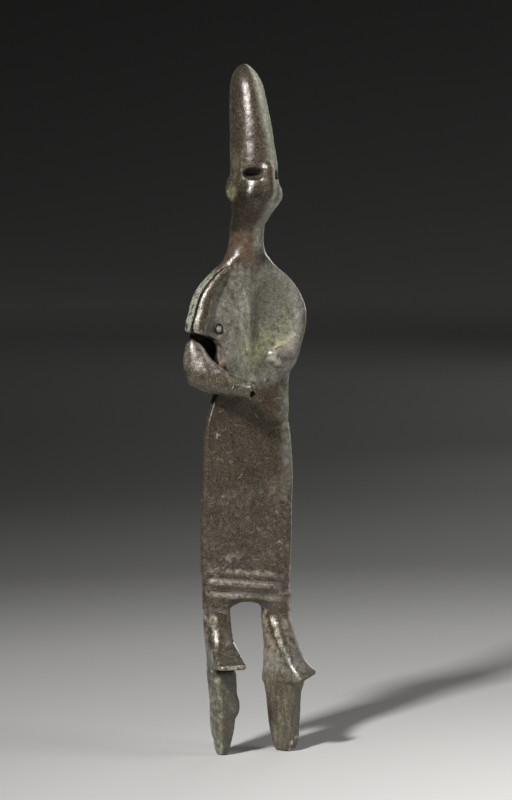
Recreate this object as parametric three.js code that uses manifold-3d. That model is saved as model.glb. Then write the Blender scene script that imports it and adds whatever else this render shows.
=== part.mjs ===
// A small cast bronze deity figurine: tall cap, schematic face, long neck, flat body in a long
// robe, forearms bent forward with pierced fists, short legs, and a tang below each foot.
// Millimetres, +Z up, the front towards -Y and the figure's own right hand towards -X.
// The figure is one casting. It stands on the flat ends of its two tangs, in the plane z = 0.
import * as THREE from 'three';
import { mergeVertices } from 'three/addons/utils/BufferGeometryUtils.js';
import Module from 'manifold-3d';

const wasm = await Module();
wasm.setup();

// Levels along a part: at is the height or length, w and d the half width and half depth of
// the section, x and y its middle, and n its squareness, where 2 is an ellipse. flare is how
// much wider the section is in front than at its middle, as a share.

// The cap, head and neck, from the root between the shoulders to the cap's tip.
const headLevels = [
  { at: 135.0, w: 5.0, d: 2.0, x: 0, y: 0.0, n: 2 },
  { at: 139.6, w: 8.0, d: 2.9, x: 0, y: 0.0, n: 2 },
  { at: 143.0, w: 7.3, d: 3.9, x: 0, y: 0.0, n: 2 },
  { at: 146.4, w: 5.8, d: 4.9, x: 0, y: 0.1, n: 2 },
  { at: 150.4, w: 4.9, d: 5.0, x: 0, y: -0.2, n: 2 }, // middle of the neck
  { at: 153.6, w: 4.9, d: 5.2, x: 0, y: -0.7, n: 2 }, // under the chin
  { at: 156.4, w: 5.2, d: 6.2, x: 0, y: -2.6, n: 2 }, // chin
  { at: 159.4, w: 6.0, d: 7.3, x: 0, y: -4.1, n: 2.1 }, // jaw
  { at: 164.6, w: 6.7, d: 7.7, x: 0, y: -4.3, n: 2.1 }, // cheeks
  { at: 169.5, w: 6.7, d: 7.2, x: 0, y: -4.1, n: 2 }, // brow and rim of the cap
  { at: 178.6, w: 6.1, d: 6.9, x: 0, y: -2.8, n: 2 },
  { at: 190.6, w: 4.95, d: 5.8, x: 0, y: -0.8, n: 2 },
  { at: 200.0, w: 3.8, d: 4.5, x: 0, y: 1.2, n: 2 },
];
const CAP_TIP_ROUND = 7;
const EAR = { x: 5.9, y: -2, z: 164.3, size: [1.6, 3.1, 3.9] };
const EYE_HOLLOW = { x: 4.0, y: -10.2, z: 168.5, size: [3.1, 4, 1.9], turn: 27 };
const NOSE = { top: [0.5, -11.1, 170.0], tip: [0.5, -11.7, 163.6], radius: 1.5 };

// The shoulders and chest, a thick plate that thins into the robe below.
const mantleLevels = [
  { at: 106.0, w: 11.5, d: 0.6, x: 0.5, y: 0, n: 5 },
  { at: 109.8, w: 14.6, d: 1.7, x: -0.6, y: 0, n: 5 },
  { at: 113.2, w: 16.8, d: 2.4, x: -2.0, y: 0, n: 5 },
  { at: 115.4, w: 17.8, d: 2.7, x: -1.9, y: 0, n: 5 },
  { at: 117.6, w: 18.6, d: 2.7, x: -1.5, y: 0, n: 5 },
  { at: 122.8, w: 19.6, d: 2.9, x: -0.6, y: 0, n: 5 },
  { at: 125.2, w: 19.7, d: 2.9, x: -0.3, y: 0, n: 5 }, // widest
  { at: 129.5, w: 19.0, d: 2.9, x: 0.3, y: 0, n: 5 },
  { at: 133.9, w: 17.3, d: 2.9, x: 0.2, y: 0, n: 5 },
  { at: 136.3, w: 15.6, d: 2.9, x: 0.2, y: 0, n: 4.6 },
  { at: 138.4, w: 13.7, d: 2.9, x: 0.3, y: 0, n: 4.2 },
  { at: 140.4, w: 11.3, d: 2.9, x: 0.2, y: 0, n: 3.6 },
  { at: 143.8, w: 6.8, d: 2.8, x: 0.2, y: 0, n: 2.6 }, // foot of the neck
];
// Relief of the chest, all of it before the depth CHEST_FRONT: a roll along the right edge, a
// keel down the middle, a hollow to the left of it, and round the hollow a border that becomes
// the left arm. The roll and the border are measured in from the plate's edges.
const CHEST_FRONT = -0.5;
const EDGE_ROLL = { inset: 2.6, halfWidth: 3.2, proud: 1.6, z: [118, 143] };
const KEEL = { x: -1.6, halfWidth: 3.6, proud: 0.5 };
const CHEST_HOLLOW = { x: 7.2, z: 125.5, halfWidth: 8.6, halfHeight: 18, depth: 1.6 };
const ARM_BORDER = { inset: 2.6, halfWidth: 3.6, proud: 1.3, z: [109, 152] };
const BREAST_BOSS = { x: -11.2, y: -2.9, z: 124.0, radius: 1.1, proud: 0.7 };
// The sleeve on the figure's right ends in a slanted edge above the bare elbow, over a gap that
// is cut measured from that edge. A thin web of metal closes the gap behind.
const SLEEVE_EDGE = { x: -20.0, z: 123.3, slope: -0.28 };
const SLEEVE_GAP = { x: [-10, 11.7], y: [-10, 10], z: [-20, 0] };
const ELBOW_WEB = { x: [-17.6, -8.0], y: [2.0, 2.9], z: [110.5, 125] };

// The waist and the long strap-like robe, from the hem up into the chest.
const robeLevels = [
  { at: 42.6, w: 14.3, d: 2.0, x: 0.0, y: 0, n: 6 },
  { at: 51.0, w: 14.7, d: 2.0, x: -0.1, y: 0, n: 6 },
  { at: 61.5, w: 15.2, d: 2.0, x: -0.1, y: 0, n: 6 },
  { at: 71.1, w: 15.3, d: 2.0, x: 0.1, y: 0, n: 5 },
  { at: 80.6, w: 15.2, d: 2.1, x: 0.5, y: 0, n: 4.4 },
  { at: 90.2, w: 14.8, d: 2.1, x: 0.3, y: 0, n: 4 },
  { at: 96.2, w: 14.0, d: 2.1, x: 0.2, y: 0, n: 4 },
  { at: 101.4, w: 13.2, d: 2.1, x: 1.1, y: 0, n: 4 },
  { at: 107.9, w: 12.1, d: 2.2, x: 1.8, y: 0, n: 4 },
  { at: 113.4, w: 12.4, d: 2.2, x: 1.9, y: 0, n: 4 }, // waist
  { at: 126.0, w: 12.0, d: 2.0, x: 1.2, y: 0, n: 4 },
];
// The robe thins towards its edge on the figure's right.
const THIN_EDGE = { reach: 9, share: 0.55 };
// The hem drops towards the figure's left. Three ribs cross its front, and below them the
// robe opens in an arch between the legs.
const HEM_SLOPE = -0.085;
const HEM_RIBS = [
  { z: 52.9, slope: -0.10, half: 0.6, proud: 0.3 },
  { z: 49.0, slope: -0.12, half: 1.4, proud: 1.0 },
  { z: 45.1, slope: -0.13, half: 1.3, proud: 1.1 },
];
const RIB_REACH = { right: -13.8, left: 13.0, taper: 3, sunk: 0.4 };
const ARCH = { right: -6.3, left: 6.2, top: 44.0, round: { wide: 5.6, high: 4.6 }, deep: 20 };

// A forearm runs level from its elbow to its fist. Its levels are lengths from the elbow,
// with w the half thickness across, d the half height, and y the height of its middle.
const rightForearm = {
  elbow: [-17.6, 0.0],
  fist: [-4.2, -10.4],
  levels: [
    { at: -3.4, w: 2.1, d: 5.8, x: 0, y: 114.5, n: 2.1 },
    { at: -1.1, w: 2.8, d: 7.0, x: 0, y: 114.7, n: 2.1 },
    { at: 2.1, w: 3.4, d: 6.4, x: 0, y: 112.9, n: 2.1 },
    { at: 5.0, w: 3.6, d: 4.9, x: 0, y: 110.5, n: 2.1 },
    { at: 9.4, w: 3.2, d: 3.6, x: 0, y: 108.4, n: 2.1 },
    { at: 14.2, w: 2.5, d: 2.7, x: 0, y: 106.9, n: 2.1 },
    { at: 16.4, w: 2.6, d: 2.8, x: 0, y: 106.5, n: 2.1 },
    { at: 18.2, w: 2.6, d: 2.7, x: 0, y: 106.5, n: 2.1 },
  ],
  round: [2.6, 1.9],
};
const leftForearm = {
  elbow: [14.6, -0.2],
  fist: [1.6, -9.9],
  levels: [
    { at: -2.4, w: 2.3, d: 4.8, x: 0, y: 117.6, n: 2.3 },
    { at: 2.0, w: 2.4, d: 3.8, x: 0, y: 116.4, n: 2.3 },
    { at: 6.0, w: 2.2, d: 2.8, x: 0, y: 115.3, n: 2.2 },
    { at: 11.0, w: 2.0, d: 2.3, x: 0, y: 115.0, n: 2.2 },
    { at: 14.5, w: 2.1, d: 2.1, x: 0, y: 116.2, n: 2.2 },
    { at: 17.0, w: 2.1, d: 2.0, x: 0, y: 116.6, n: 2.2 },
  ],
  round: [2.4, 1.8],
};
// Each fist is pierced from its end, down and outwards, for a lost attribute.
const FIST_HOLE = { radius: 1.0, back: 2.0, dip: 6 };

// Legs with their feet. turn is how far the foot points to the figure's left, in degrees. lift
// is how much the sole rises for each millimetre towards the toes, and bank how much the toes
// rise for each towards the figure's left.
const rightLeg = {
  turn: -11,
  lift: 0.03,
  bank: 0,
  levels: [
    { at: 26.2, w: 3.55, d: 8.1, x: -11.05, y: -5.2, n: 7, flare: 0.27 }, // sole
    { at: 27.2, w: 3.55, d: 8.1, x: -11.05, y: -5.2, n: 7, flare: 0.27 }, // toe edge
    { at: 28.2, w: 3.57, d: 7.5, x: -10.95, y: -4.6, n: 6, flare: 0.25 },
    { at: 30.6, w: 3.65, d: 6.1, x: -10.7, y: -3.1, n: 4.5, flare: 0.2 },
    { at: 34.0, w: 3.85, d: 4.8, x: -10.4, y: -1.4, n: 2.4, flare: 0.08 }, // ankle
    { at: 40.0, w: 4.0, d: 3.95, x: -10.3, y: -0.3, n: 2, flare: 0 },
    { at: 45.6, w: 3.3, d: 2.2, x: -10.6, y: -0.4, n: 3, flare: 0 }, // root behind the hem
  ],
};
const leftLeg = {
  turn: 16,
  lift: 0.1,
  bank: 0.33,
  levels: [
    { at: 21.2, w: 3.5, d: 8.1, x: 11.4, y: -5.3, n: 6, flare: 0.13 },
    { at: 22.2, w: 3.5, d: 8.1, x: 11.4, y: -5.3, n: 6, flare: 0.13 },
    { at: 23.4, w: 3.5, d: 7.5, x: 11.2, y: -4.7, n: 5, flare: 0.12 },
    { at: 26.8, w: 3.7, d: 6.3, x: 10.8, y: -3.3, n: 3.2, flare: 0.09 },
    { at: 31.0, w: 3.9, d: 5.5, x: 10.5, y: -2.4, n: 2.4, flare: 0.05 },
    { at: 35.0, w: 4.1, d: 5.1, x: 10.3, y: -1.6, n: 2.1, flare: 0 },
    { at: 41.0, w: 4.3, d: 4.0, x: 10.3, y: -0.1, n: 2.1, flare: 0 },
    { at: 45.6, w: 3.4, d: 2.3, x: 10.6, y: -0.6, n: 3, flare: 0 },
  ],
};
const ANKLE = 4; // the level of a leg at its ankle

// Tangs taper from under the feet to flat ends on the ground.
const rightTang = {
  turn: -3,
  levels: [
    { at: 0.0, w: 1.8, d: 3.6, x: -8.0, y: 0.5, n: 3 },
    { at: 1.2, w: 2.1, d: 3.7, x: -8.0, y: 0.4, n: 3.4 },
    { at: 9.0, w: 2.5, d: 3.9, x: -8.5, y: -0.4, n: 5 },
    { at: 17.0, w: 3.0, d: 4.1, x: -8.9, y: -1.2, n: 5 },
    { at: 24.0, w: 3.3, d: 4.3, x: -9.5, y: -1.4, n: 5 },
    { at: 28.0, w: 2.2, d: 2.8, x: -9.9, y: -1.3, n: 4 },
  ],
};
const leftTang = {
  turn: 22,
  levels: [
    { at: 0.0, w: 2.1, d: 3.8, x: 11.2, y: -3.3, n: 3 },
    { at: 1.2, w: 2.5, d: 4.0, x: 11.2, y: -3.3, n: 3.4 },
    { at: 9.0, w: 3.1, d: 4.5, x: 11.1, y: -3.2, n: 3.5 },
    { at: 17.0, w: 3.4, d: 5.2, x: 10.9, y: -3.1, n: 3.5 },
    { at: 21.0, w: 3.6, d: 6.0, x: 10.9, y: -3.5, n: 3.5 },
    { at: 27.0, w: 2.4, d: 3.4, x: 10.6, y: -2.4, n: 3 },
  ],
};
// A lump of casting flash on the front of the right tang.
const TANG_LUMP = { x: -6.9, y: -4.5, z: 14.6, size: [1.4, 1.5, 2.8] };

const UP = new THREE.Vector3(0, 0, 1);

// Reads one value of the levels at a place between them, on a curve that never overshoots.
function valueAt(levels, key, at) {
  const last = levels.length - 1;
  const slope = (i) => (levels[i + 1][key] - levels[i][key]) / (levels[i + 1].at - levels[i].at);
  const tangent = (i) => {
    if (i === 0) return slope(0);
    if (i === last) return slope(last - 1);
    const before = slope(i - 1);
    const after = slope(i);
    return before * after > 0 ? (2 * before * after) / (before + after) : 0;
  };
  const place = THREE.MathUtils.clamp(at, levels[0].at, levels[last].at);
  let i = 0;
  while (i < last - 1 && place > levels[i + 1].at) i += 1;
  const span = levels[i + 1].at - levels[i].at;
  const u = (place - levels[i].at) / span;
  const rise = u * u * (3 - 2 * u);
  const low = levels[i][key];
  const high = levels[i + 1][key];
  return low + (high - low) * rise
    + span * (tangent(i) * u * (1 - u) * (1 - u) - tangent(i + 1) * u * u * (1 - u));
}

// Places along a loft: even between its ends, and closer together where an end is rounded.
const ROUND_STEPS = 4;

function placesAlong(start, end, count, roundStart, roundEnd) {
  const places = [];
  for (let k = 0; k < ROUND_STEPS && roundStart > 0; k += 1) {
    places.push(start + roundStart * (1 - Math.cos((k / ROUND_STEPS) * (Math.PI / 2))));
  }
  for (let k = 0; k <= count; k += 1) {
    places.push(THREE.MathUtils.lerp(start + roundStart, end - roundEnd, k / count));
  }
  for (let k = 1; k <= ROUND_STEPS && roundEnd > 0; k += 1) {
    places.push(end - roundEnd * (1 - Math.sin((k / ROUND_STEPS) * (Math.PI / 2))));
  }
  return places;
}

// How much a rounded end narrows the section at a place. It never closes to a point.
const NARROWEST = 0.05;

function endNarrowing(at, start, end, roundStart, roundEnd) {
  const into = Math.max(
    roundStart > 0 ? (start + roundStart - at) / roundStart : 0,
    roundEnd > 0 ? (at - end + roundEnd) / roundEnd : 0,
    0,
  );
  return Math.max(Math.sqrt(Math.max(1 - into * into, 0)), NARROWEST);
}

// A smooth hump of height 1 at the middle that falls to 0 at its half width.
function hump(offset, halfWidth) {
  const u = Math.min(Math.abs(offset) / halfWidth, 1);
  return (1 - u * u) ** 2;
}

// Turns a closed three.js geometry into a solid.
function toSolid(geometry) {
  const bare = geometry.clone();
  bare.deleteAttribute('normal');
  bare.deleteAttribute('uv');
  const merged = mergeVertices(bare, 1e-4);
  return new wasm.Manifold(new wasm.Mesh({
    numProp: 3,
    vertProperties: new Float32Array(merged.attributes.position.array),
    triVerts: new Uint32Array(merged.index.array),
  }));
}

// A closed skin through superellipse rings. axes are the loft's side, fore and along
// directions, origin is where its lengths start, and reshape may move each point.
function loft({ axes, origin, levels, count, steps, round = [0, 0], reshape }) {
  const [side, fore, along] = axes;
  const start = levels[0].at;
  const end = levels[levels.length - 1].at;
  const places = placesAlong(start, end, count, ...round);
  const positions = [];
  const index = [];
  const addPoint = (x, y, at) => {
    const point = origin.clone().addScaledVector(side, x).addScaledVector(fore, y)
      .addScaledVector(along, at);
    if (reshape) reshape(point);
    positions.push(point.x, point.y, point.z);
  };
  for (const at of places) {
    const narrow = endNarrowing(at, start, end, ...round);
    const w = valueAt(levels, 'w', at) * narrow;
    const d = valueAt(levels, 'd', at) * narrow;
    const n = valueAt(levels, 'n', at);
    const flare = levels[0].flare ? valueAt(levels, 'flare', at) : 0;
    for (let k = 0; k < steps; k += 1) {
      const c = Math.cos((k / steps) * Math.PI * 2);
      const s = Math.sin((k / steps) * Math.PI * 2);
      const reach = (Math.abs(c) ** n + Math.abs(s) ** n) ** (-1 / n);
      addPoint(
        valueAt(levels, 'x', at) + w * (1 - flare * s * reach) * c * reach,
        valueAt(levels, 'y', at) + d * s * reach,
        at,
      );
    }
  }
  for (let ring = 0; ring < places.length - 1; ring += 1) {
    for (let k = 0; k < steps; k += 1) {
      const a = ring * steps + k;
      const b = ring * steps + ((k + 1) % steps);
      index.push(a, b, b + steps, a, b + steps, a + steps);
    }
  }
  const lastRing = (places.length - 1) * steps;
  const startMiddle = places.length * steps;
  addPoint(valueAt(levels, 'x', start), valueAt(levels, 'y', start), start);
  addPoint(valueAt(levels, 'x', end), valueAt(levels, 'y', end), end);
  for (let k = 0; k < steps; k += 1) {
    const next = (k + 1) % steps;
    index.push(startMiddle, next, k, startMiddle + 1, lastRing + k, lastRing + next);
  }
  const geometry = new THREE.BufferGeometry();
  geometry.setAttribute('position', new THREE.Float32BufferAttribute(positions, 3));
  geometry.setIndex(index);
  return toSolid(geometry);
}

// An upright loft whose sections are turned about the vertical by turn degrees.
function uprightLoft({ levels, turn = 0, count, steps, round, reshape }) {
  const angle = THREE.MathUtils.degToRad(turn);
  const side = new THREE.Vector3(Math.cos(angle), Math.sin(angle), 0);
  const fore = new THREE.Vector3(-Math.sin(angle), Math.cos(angle), 0);
  const turned = levels.map((level) => {
    const middle = new THREE.Vector3(level.x, level.y, 0);
    return { ...level, x: middle.dot(side), y: middle.dot(fore) };
  });
  const origin = new THREE.Vector3();
  return loft({ axes: [side, fore, UP], origin, levels: turned, count, steps, round, reshape });
}

function ellipsoid([x, y, z], [rx, ry, rz], turn = 0) {
  const geometry = new THREE.SphereGeometry(1, 16, 10);
  geometry.scale(rx, ry, rz);
  geometry.rotateZ(THREE.MathUtils.degToRad(turn));
  geometry.translate(x, y, z);
  return toSolid(geometry);
}

// A round bar with domed ends between two points.
function bar(from, to, radius) {
  const geometry = new THREE.CapsuleGeometry(radius, from.distanceTo(to), 3, 12);
  const direction = to.clone().sub(from).normalize();
  const stand = new THREE.Quaternion().setFromUnitVectors(new THREE.Vector3(0, 1, 0), direction);
  geometry.applyQuaternion(stand);
  const middle = from.clone().add(to).multiplyScalar(0.5);
  geometry.translate(middle.x, middle.y, middle.z);
  return toSolid(geometry);
}

function box([x0, x1], [y0, y1], [z0, z1]) {
  const geometry = new THREE.BoxGeometry(x1 - x0, y1 - y0, z1 - z0);
  geometry.translate((x0 + x1) / 2, (y0 + y1) / 2, (z0 + z1) / 2);
  return geometry;
}

// The head under its cap, with bulging ears, deep eye hollows and a nose ridge.
function headAndCap() {
  let head = uprightLoft({
    levels: headLevels, count: 21, steps: 24, round: [0, CAP_TIP_ROUND],
  });
  for (const hand of [-1, 1]) {
    head = head.add(ellipsoid([hand * EAR.x, EAR.y, EAR.z], EAR.size));
    const { x, y, z, size, turn } = EYE_HOLLOW;
    head = head.subtract(ellipsoid([hand * x, y, z], size, hand * turn));
  }
  const nose = bar(new THREE.Vector3(...NOSE.top), new THREE.Vector3(...NOSE.tip), NOSE.radius);
  return head.add(nose);
}

// Moves a point of the chest's front in or out by the relief carved there.
function carveChest(point) {
  if (point.y >= CHEST_FRONT) return;
  const x = valueAt(mantleLevels, 'x', point.z);
  const w = valueAt(mantleLevels, 'w', point.z);
  const fromRight = point.x - (x - w);
  const fromLeft = x + w - point.x;
  for (const [{ inset, halfWidth, proud, z }, inward] of [
    [EDGE_ROLL, fromRight], [ARM_BORDER, fromLeft],
  ]) {
    const middle = (z[0] + z[1]) / 2;
    const along = hump(point.z - middle, (z[1] - z[0]) / 2) ** 0.4;
    point.y -= proud * hump(inward - inset, halfWidth) * along;
  }
  const { halfWidth, halfHeight, depth } = CHEST_HOLLOW;
  point.y -= KEEL.proud * hump(point.x - KEEL.x, KEEL.halfWidth);
  point.y += depth * hump(point.x - CHEST_HOLLOW.x, halfWidth)
    * hump(point.z - CHEST_HOLLOW.z, halfHeight);
}

function mantle() {
  const plate = uprightLoft({
    levels: mantleLevels, count: 14, steps: 44, reshape: carveChest,
  });
  const gap = box(SLEEVE_GAP.x, SLEEVE_GAP.y, SLEEVE_GAP.z);
  gap.rotateY(-Math.atan(SLEEVE_EDGE.slope));
  gap.translate(SLEEVE_EDGE.x, 0, SLEEVE_EDGE.z);
  const { x, y, z, radius, proud } = BREAST_BOSS;
  return plate.subtract(toSolid(gap))
    .add(toSolid(box(ELBOW_WEB.x, ELBOW_WEB.y, ELBOW_WEB.z)))
    .add(ellipsoid([x, y, z], [radius, proud, radius]));
}

// One raised rib across the front of the hem, thin at its ends.
function hemRib({ z, slope, half, proud }) {
  const { right, left, taper, sunk } = RIB_REACH;
  const y = sunk - robeLevels[1].d;
  const thin = { w: half / 2, d: sunk, x: z, y, n: 2 };
  const full = { w: half, d: proud + sunk, x: z, y, n: 2 };
  const levels = [
    { at: right, ...thin },
    { at: right + taper, ...full },
    { at: left - taper, ...full },
    { at: left, ...thin },
  ];
  const axes = [UP, new THREE.Vector3(0, 1, 0), new THREE.Vector3(-1, 0, 0)];
  const mirrored = levels.map((level) => ({ ...level, at: -level.at })).reverse();
  const followHem = (point) => {
    point.z += slope * point.x;
  };
  return loft({
    axes, origin: new THREE.Vector3(), levels: mirrored, count: 9, steps: 10, reshape: followHem,
  });
}

// The arched opening between the legs, as a solid to cut away.
function archOpening() {
  const { right, left, top, deep } = ARCH;
  const { wide, high } = ARCH.round;
  const middle = (left + right) / 2;
  const outline = new THREE.Shape();
  outline.moveTo(right, 0);
  outline.lineTo(left, 0);
  outline.lineTo(left, top - high);
  outline.absellipse(left - wide, top - high, wide, high, 0, Math.PI / 2, false, 0);
  outline.absellipse(right + wide, top - high, wide, high, Math.PI / 2, Math.PI, false, 0);
  const geometry = new THREE.ExtrudeGeometry(outline, {
    depth: deep, bevelEnabled: false, curveSegments: 5,
  });
  geometry.rotateX(Math.PI / 2);
  geometry.translate(0, deep / 2, 0);
  const position = geometry.attributes.position;
  for (let k = 0; k < position.count; k += 1) {
    position.setZ(k, position.getZ(k) + HEM_SLOPE * (position.getX(k) - middle));
  }
  return toSolid(geometry);
}

// Thins a point of the robe where it lies near the edge on the figure's right.
function thinRightEdge(point) {
  const fromEdge = point.x - valueAt(robeLevels, 'x', point.z) + valueAt(robeLevels, 'w', point.z);
  const inner = THREE.MathUtils.smoothstep(fromEdge, 0, THIN_EDGE.reach);
  point.y *= THREE.MathUtils.lerp(THIN_EDGE.share, 1, inner);
}

function robe() {
  const strap = uprightLoft({
    levels: robeLevels, count: 17, steps: 34, reshape: thinRightEdge,
  });
  return HEM_RIBS.reduce((whole, rib) => whole.add(hemRib(rib)), strap)
    .subtract(archOpening());
}

function forearm({ elbow, fist, levels, round }) {
  const start = new THREE.Vector3(...elbow, 0);
  const along = new THREE.Vector3(...fist, 0).sub(start).normalize();
  const side = new THREE.Vector3().crossVectors(UP, along);
  const arm = loft({
    axes: [side, UP, along], origin: start, levels, count: 11, steps: 16, round,
  });
  const end = levels[levels.length - 1];
  const middle = start.clone().addScaledVector(along, end.at - FIST_HOLE.back);
  middle.z = end.y;
  const down = new THREE.Vector3(0, 0, -FIST_HOLE.dip).addScaledVector(along, FIST_HOLE.dip / 2);
  return arm.subtract(bar(middle.clone().sub(down), middle.clone().add(down), FIST_HOLE.radius));
}

function leg({ turn, lift, bank, levels }) {
  const ankle = levels[ANKLE];
  const angle = THREE.MathUtils.degToRad(turn);
  const ahead = new THREE.Vector3(Math.sin(angle), -Math.cos(angle), 0);
  const raiseToes = (point) => {
    const x = point.x - ankle.x;
    const y = point.y - ankle.y;
    const forward = x * ahead.x + y * ahead.y;
    const leftward = -x * ahead.y + y * ahead.x;
    const low = THREE.MathUtils.clamp((ankle.at - point.z) / (ankle.at - levels[1].at), 0, 1);
    const toes = THREE.MathUtils.smoothstep(forward, 2, 9);
    point.z += (lift * Math.max(forward, 0) + bank * leftward * toes) * low;
  };
  return uprightLoft({ levels, turn, count: 11, steps: 22, reshape: raiseToes });
}

function tang({ turn, levels }) {
  return uprightLoft({ levels, turn, count: 8, steps: 20 });
}

function figure() {
  const { x, y, z, size } = TANG_LUMP;
  const parts = [
    mantle(),
    robe(),
    forearm(rightForearm),
    forearm(leftForearm),
    leg(rightLeg),
    leg(leftLeg),
    tang(rightTang),
    tang(leftTang),
    ellipsoid([x, y, z], size),
  ];
  return parts.reduce((whole, part) => whole.add(part), headAndCap());
}

// Makes the named mesh, with the origin under the middle of the figure's outline.
function toMesh(solid, name, material) {
  const { vertProperties, triVerts } = solid.getMesh();
  const geometry = new THREE.BufferGeometry();
  geometry.setAttribute('position', new THREE.BufferAttribute(vertProperties, 3));
  geometry.setIndex(new THREE.BufferAttribute(triVerts, 1));
  geometry.computeBoundingBox();
  const middle = geometry.boundingBox.getCenter(new THREE.Vector3());
  geometry.translate(-middle.x, -middle.y, 0);
  const mesh = new THREE.Mesh(geometry, material);
  mesh.name = name;
  return mesh;
}

const bronze = new THREE.MeshStandardMaterial({ color: 0x3a3127, roughness: 0.42, metalness: 0.8 });

const group = new THREE.Group();
group.add(toMesh(figure(), 'figure', bronze));

export default group;
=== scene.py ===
# A small cast bronze deity figurine, standing on the two tangs below its feet.
# The bronze is worked out as one distance field about the casting's own axis, meshed, given
# its fine surface, and fitted to the frame's box. The field is in millimetres, with the front
# towards -Y and the figure's own right hand towards -X. Blender's side is in metres.
import math
from collections import namedtuple
from itertools import chain, product

import bpy
import numpy as np
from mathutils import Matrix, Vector


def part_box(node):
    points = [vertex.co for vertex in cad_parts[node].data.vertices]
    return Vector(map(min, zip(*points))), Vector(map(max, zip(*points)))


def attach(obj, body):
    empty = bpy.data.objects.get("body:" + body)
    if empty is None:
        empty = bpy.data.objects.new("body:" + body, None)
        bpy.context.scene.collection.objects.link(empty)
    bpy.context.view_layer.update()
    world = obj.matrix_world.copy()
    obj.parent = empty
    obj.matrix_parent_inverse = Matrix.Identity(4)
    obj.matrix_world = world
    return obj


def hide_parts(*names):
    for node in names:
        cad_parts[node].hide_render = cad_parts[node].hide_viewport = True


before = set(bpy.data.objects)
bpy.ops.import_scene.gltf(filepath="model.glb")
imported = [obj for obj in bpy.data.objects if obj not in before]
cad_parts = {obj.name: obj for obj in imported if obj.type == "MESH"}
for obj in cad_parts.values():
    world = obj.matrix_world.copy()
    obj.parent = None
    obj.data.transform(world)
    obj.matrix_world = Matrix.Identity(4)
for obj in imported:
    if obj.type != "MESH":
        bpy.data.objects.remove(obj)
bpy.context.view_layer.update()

MM = 0.001

# Sizes.

# Levels along a part: at is the height or length, w and d the half width and half depth of
# the section, x and y its middle, and n its squareness, where 2 is an ellipse. flare is how
# much wider the section is in front than at its middle, as a share.
Level = namedtuple("Level", "at w d x y n flare", defaults=(0,))

HEAD = [
    Level(135, 5, 2, 0, 0, 2),
    Level(139.6, 8, 2.9, 0, 0, 2),
    Level(143, 7.3, 3.9, 0, 0, 2),
    Level(146.4, 5.8, 4.9, 0, 0.1, 2),
    Level(150.4, 4.9, 5, 0, -0.2, 2),  # middle of the neck
    Level(153.6, 4.9, 5.2, 0, -0.7, 2),  # under the chin
    Level(156.4, 5.2, 6.2, 0, -2.6, 2),  # chin
    Level(159.4, 6, 7.3, 0, -4.1, 2.1),  # jaw
    Level(164.6, 6.7, 7.7, 0, -4.3, 2.1),  # cheeks
    Level(169.5, 6.7, 7.2, 0, -4.1, 2),  # brow and rim of the cap
    Level(178.6, 6.1, 6.9, 0, -2.8, 2),
    Level(190.6, 4.95, 5.8, 0, -0.8, 2),
    Level(200, 3.8, 4.5, 0, 1.2, 2),
]
CAP_TIP_ROUND = 7.0
EAR = {"at": (5.9, -2.0, 164.3), "size": (1.6, 3.1, 3.9), "blend": 0.8}
EAR_HOLLOW = {"at": (7.7, -3.0, 163.0), "size": (1.2, 1.7, 2.4), "blend": 0.5}
EYE_HOLLOWS = [
    {"at": (-4.0, -10.2, 168.5), "size": (3.1, 4.2, 1.9), "turn": -27, "floor": 167.0},
    {"at": (3.8, -10.0, 168.0), "size": (2.1, 3.6, 1.5), "turn": 27, "floor": 166.9},
]
EYE_EDGES = {"floor": 0.5, "rim": 0.4}
NOSE = {"top": (0.5, -11.1, 170.0), "tip": (0.5, -11.7, 163.6), "radius": 1.7, "blend": 1.6}
CHEEKBONE = {"at": (3.8, -8.7, 162.6), "size": (2.6, 2.6, 3.2), "turn": 27, "blend": 1.2}

MANTLE = [
    Level(106, 11.5, 0.6, 0.5, 0, 5),
    Level(109.8, 14.6, 1.7, -0.6, 0, 5),
    Level(113.2, 16.8, 2.4, -2, 0, 5),
    Level(115.4, 17.8, 2.7, -1.9, 0, 5),
    Level(117.6, 18.6, 2.7, -1.5, 0, 5),
    Level(122.8, 19.6, 2.9, -0.6, 0, 5),
    Level(125.2, 19.7, 2.9, -0.3, 0, 5),  # widest
    Level(129.5, 19, 2.9, 0.3, 0, 5),
    Level(133.9, 17.3, 2.9, 0.2, 0, 5),
    Level(136.3, 15.6, 2.9, 0.2, 0, 4.6),
    Level(138.4, 13.7, 2.9, 0.3, 0, 4.2),
    Level(140.4, 11.3, 2.9, 0.2, 0, 3.6),
    Level(143.8, 6.8, 2.8, 0.2, 0, 2.6),  # foot of the neck
]
# The bead along the front of the mantle's right edge: its radius by height, the shallow dip
# beside it, and the groove behind it.
BEAD_RADIUS = [(113.0, 2.2), (128.0, 2.5), (136.0, 2.1), (142.0, 1.2)]
BEAD_Y = -2.2
BEAD_VALLEY = {"inset": 7.2, "half": 3.0, "depth": 0.25}
EDGE_GROOVE = {"inset": 0.2, "y": -2.6, "radius": 0.34, "z": (119.5, 141.5)}
# The chest's left half is hollow, from a keel to the thick border that becomes the left arm.
KEEL = {"x": -1.6, "width": 3.6, "proud": 0.5, "z": (110.0, 136.0)}
CHEST_HOLLOW = {"x": 7.2, "z": 125.5, "half_width": 8.6, "half_height": 18.0, "depth": 1.6}
ARM_BORDER = {"inset": 2.6, "half": 3.6, "proud": 1.3, "z": (113.0, 140.0)}
LAPELS = {
    "foot": (-0.4, 134.5), "tops": ((-7.4, 142.0), (4.2, 143.5)), "radius": 1.9, "depth": 0.45,
}
BREAST = {"at": (-11.2, -2.9, 124.0), "size": (1.1, 0.7, 1.1), "ring": 1.35, "groove": 0.42}
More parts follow.
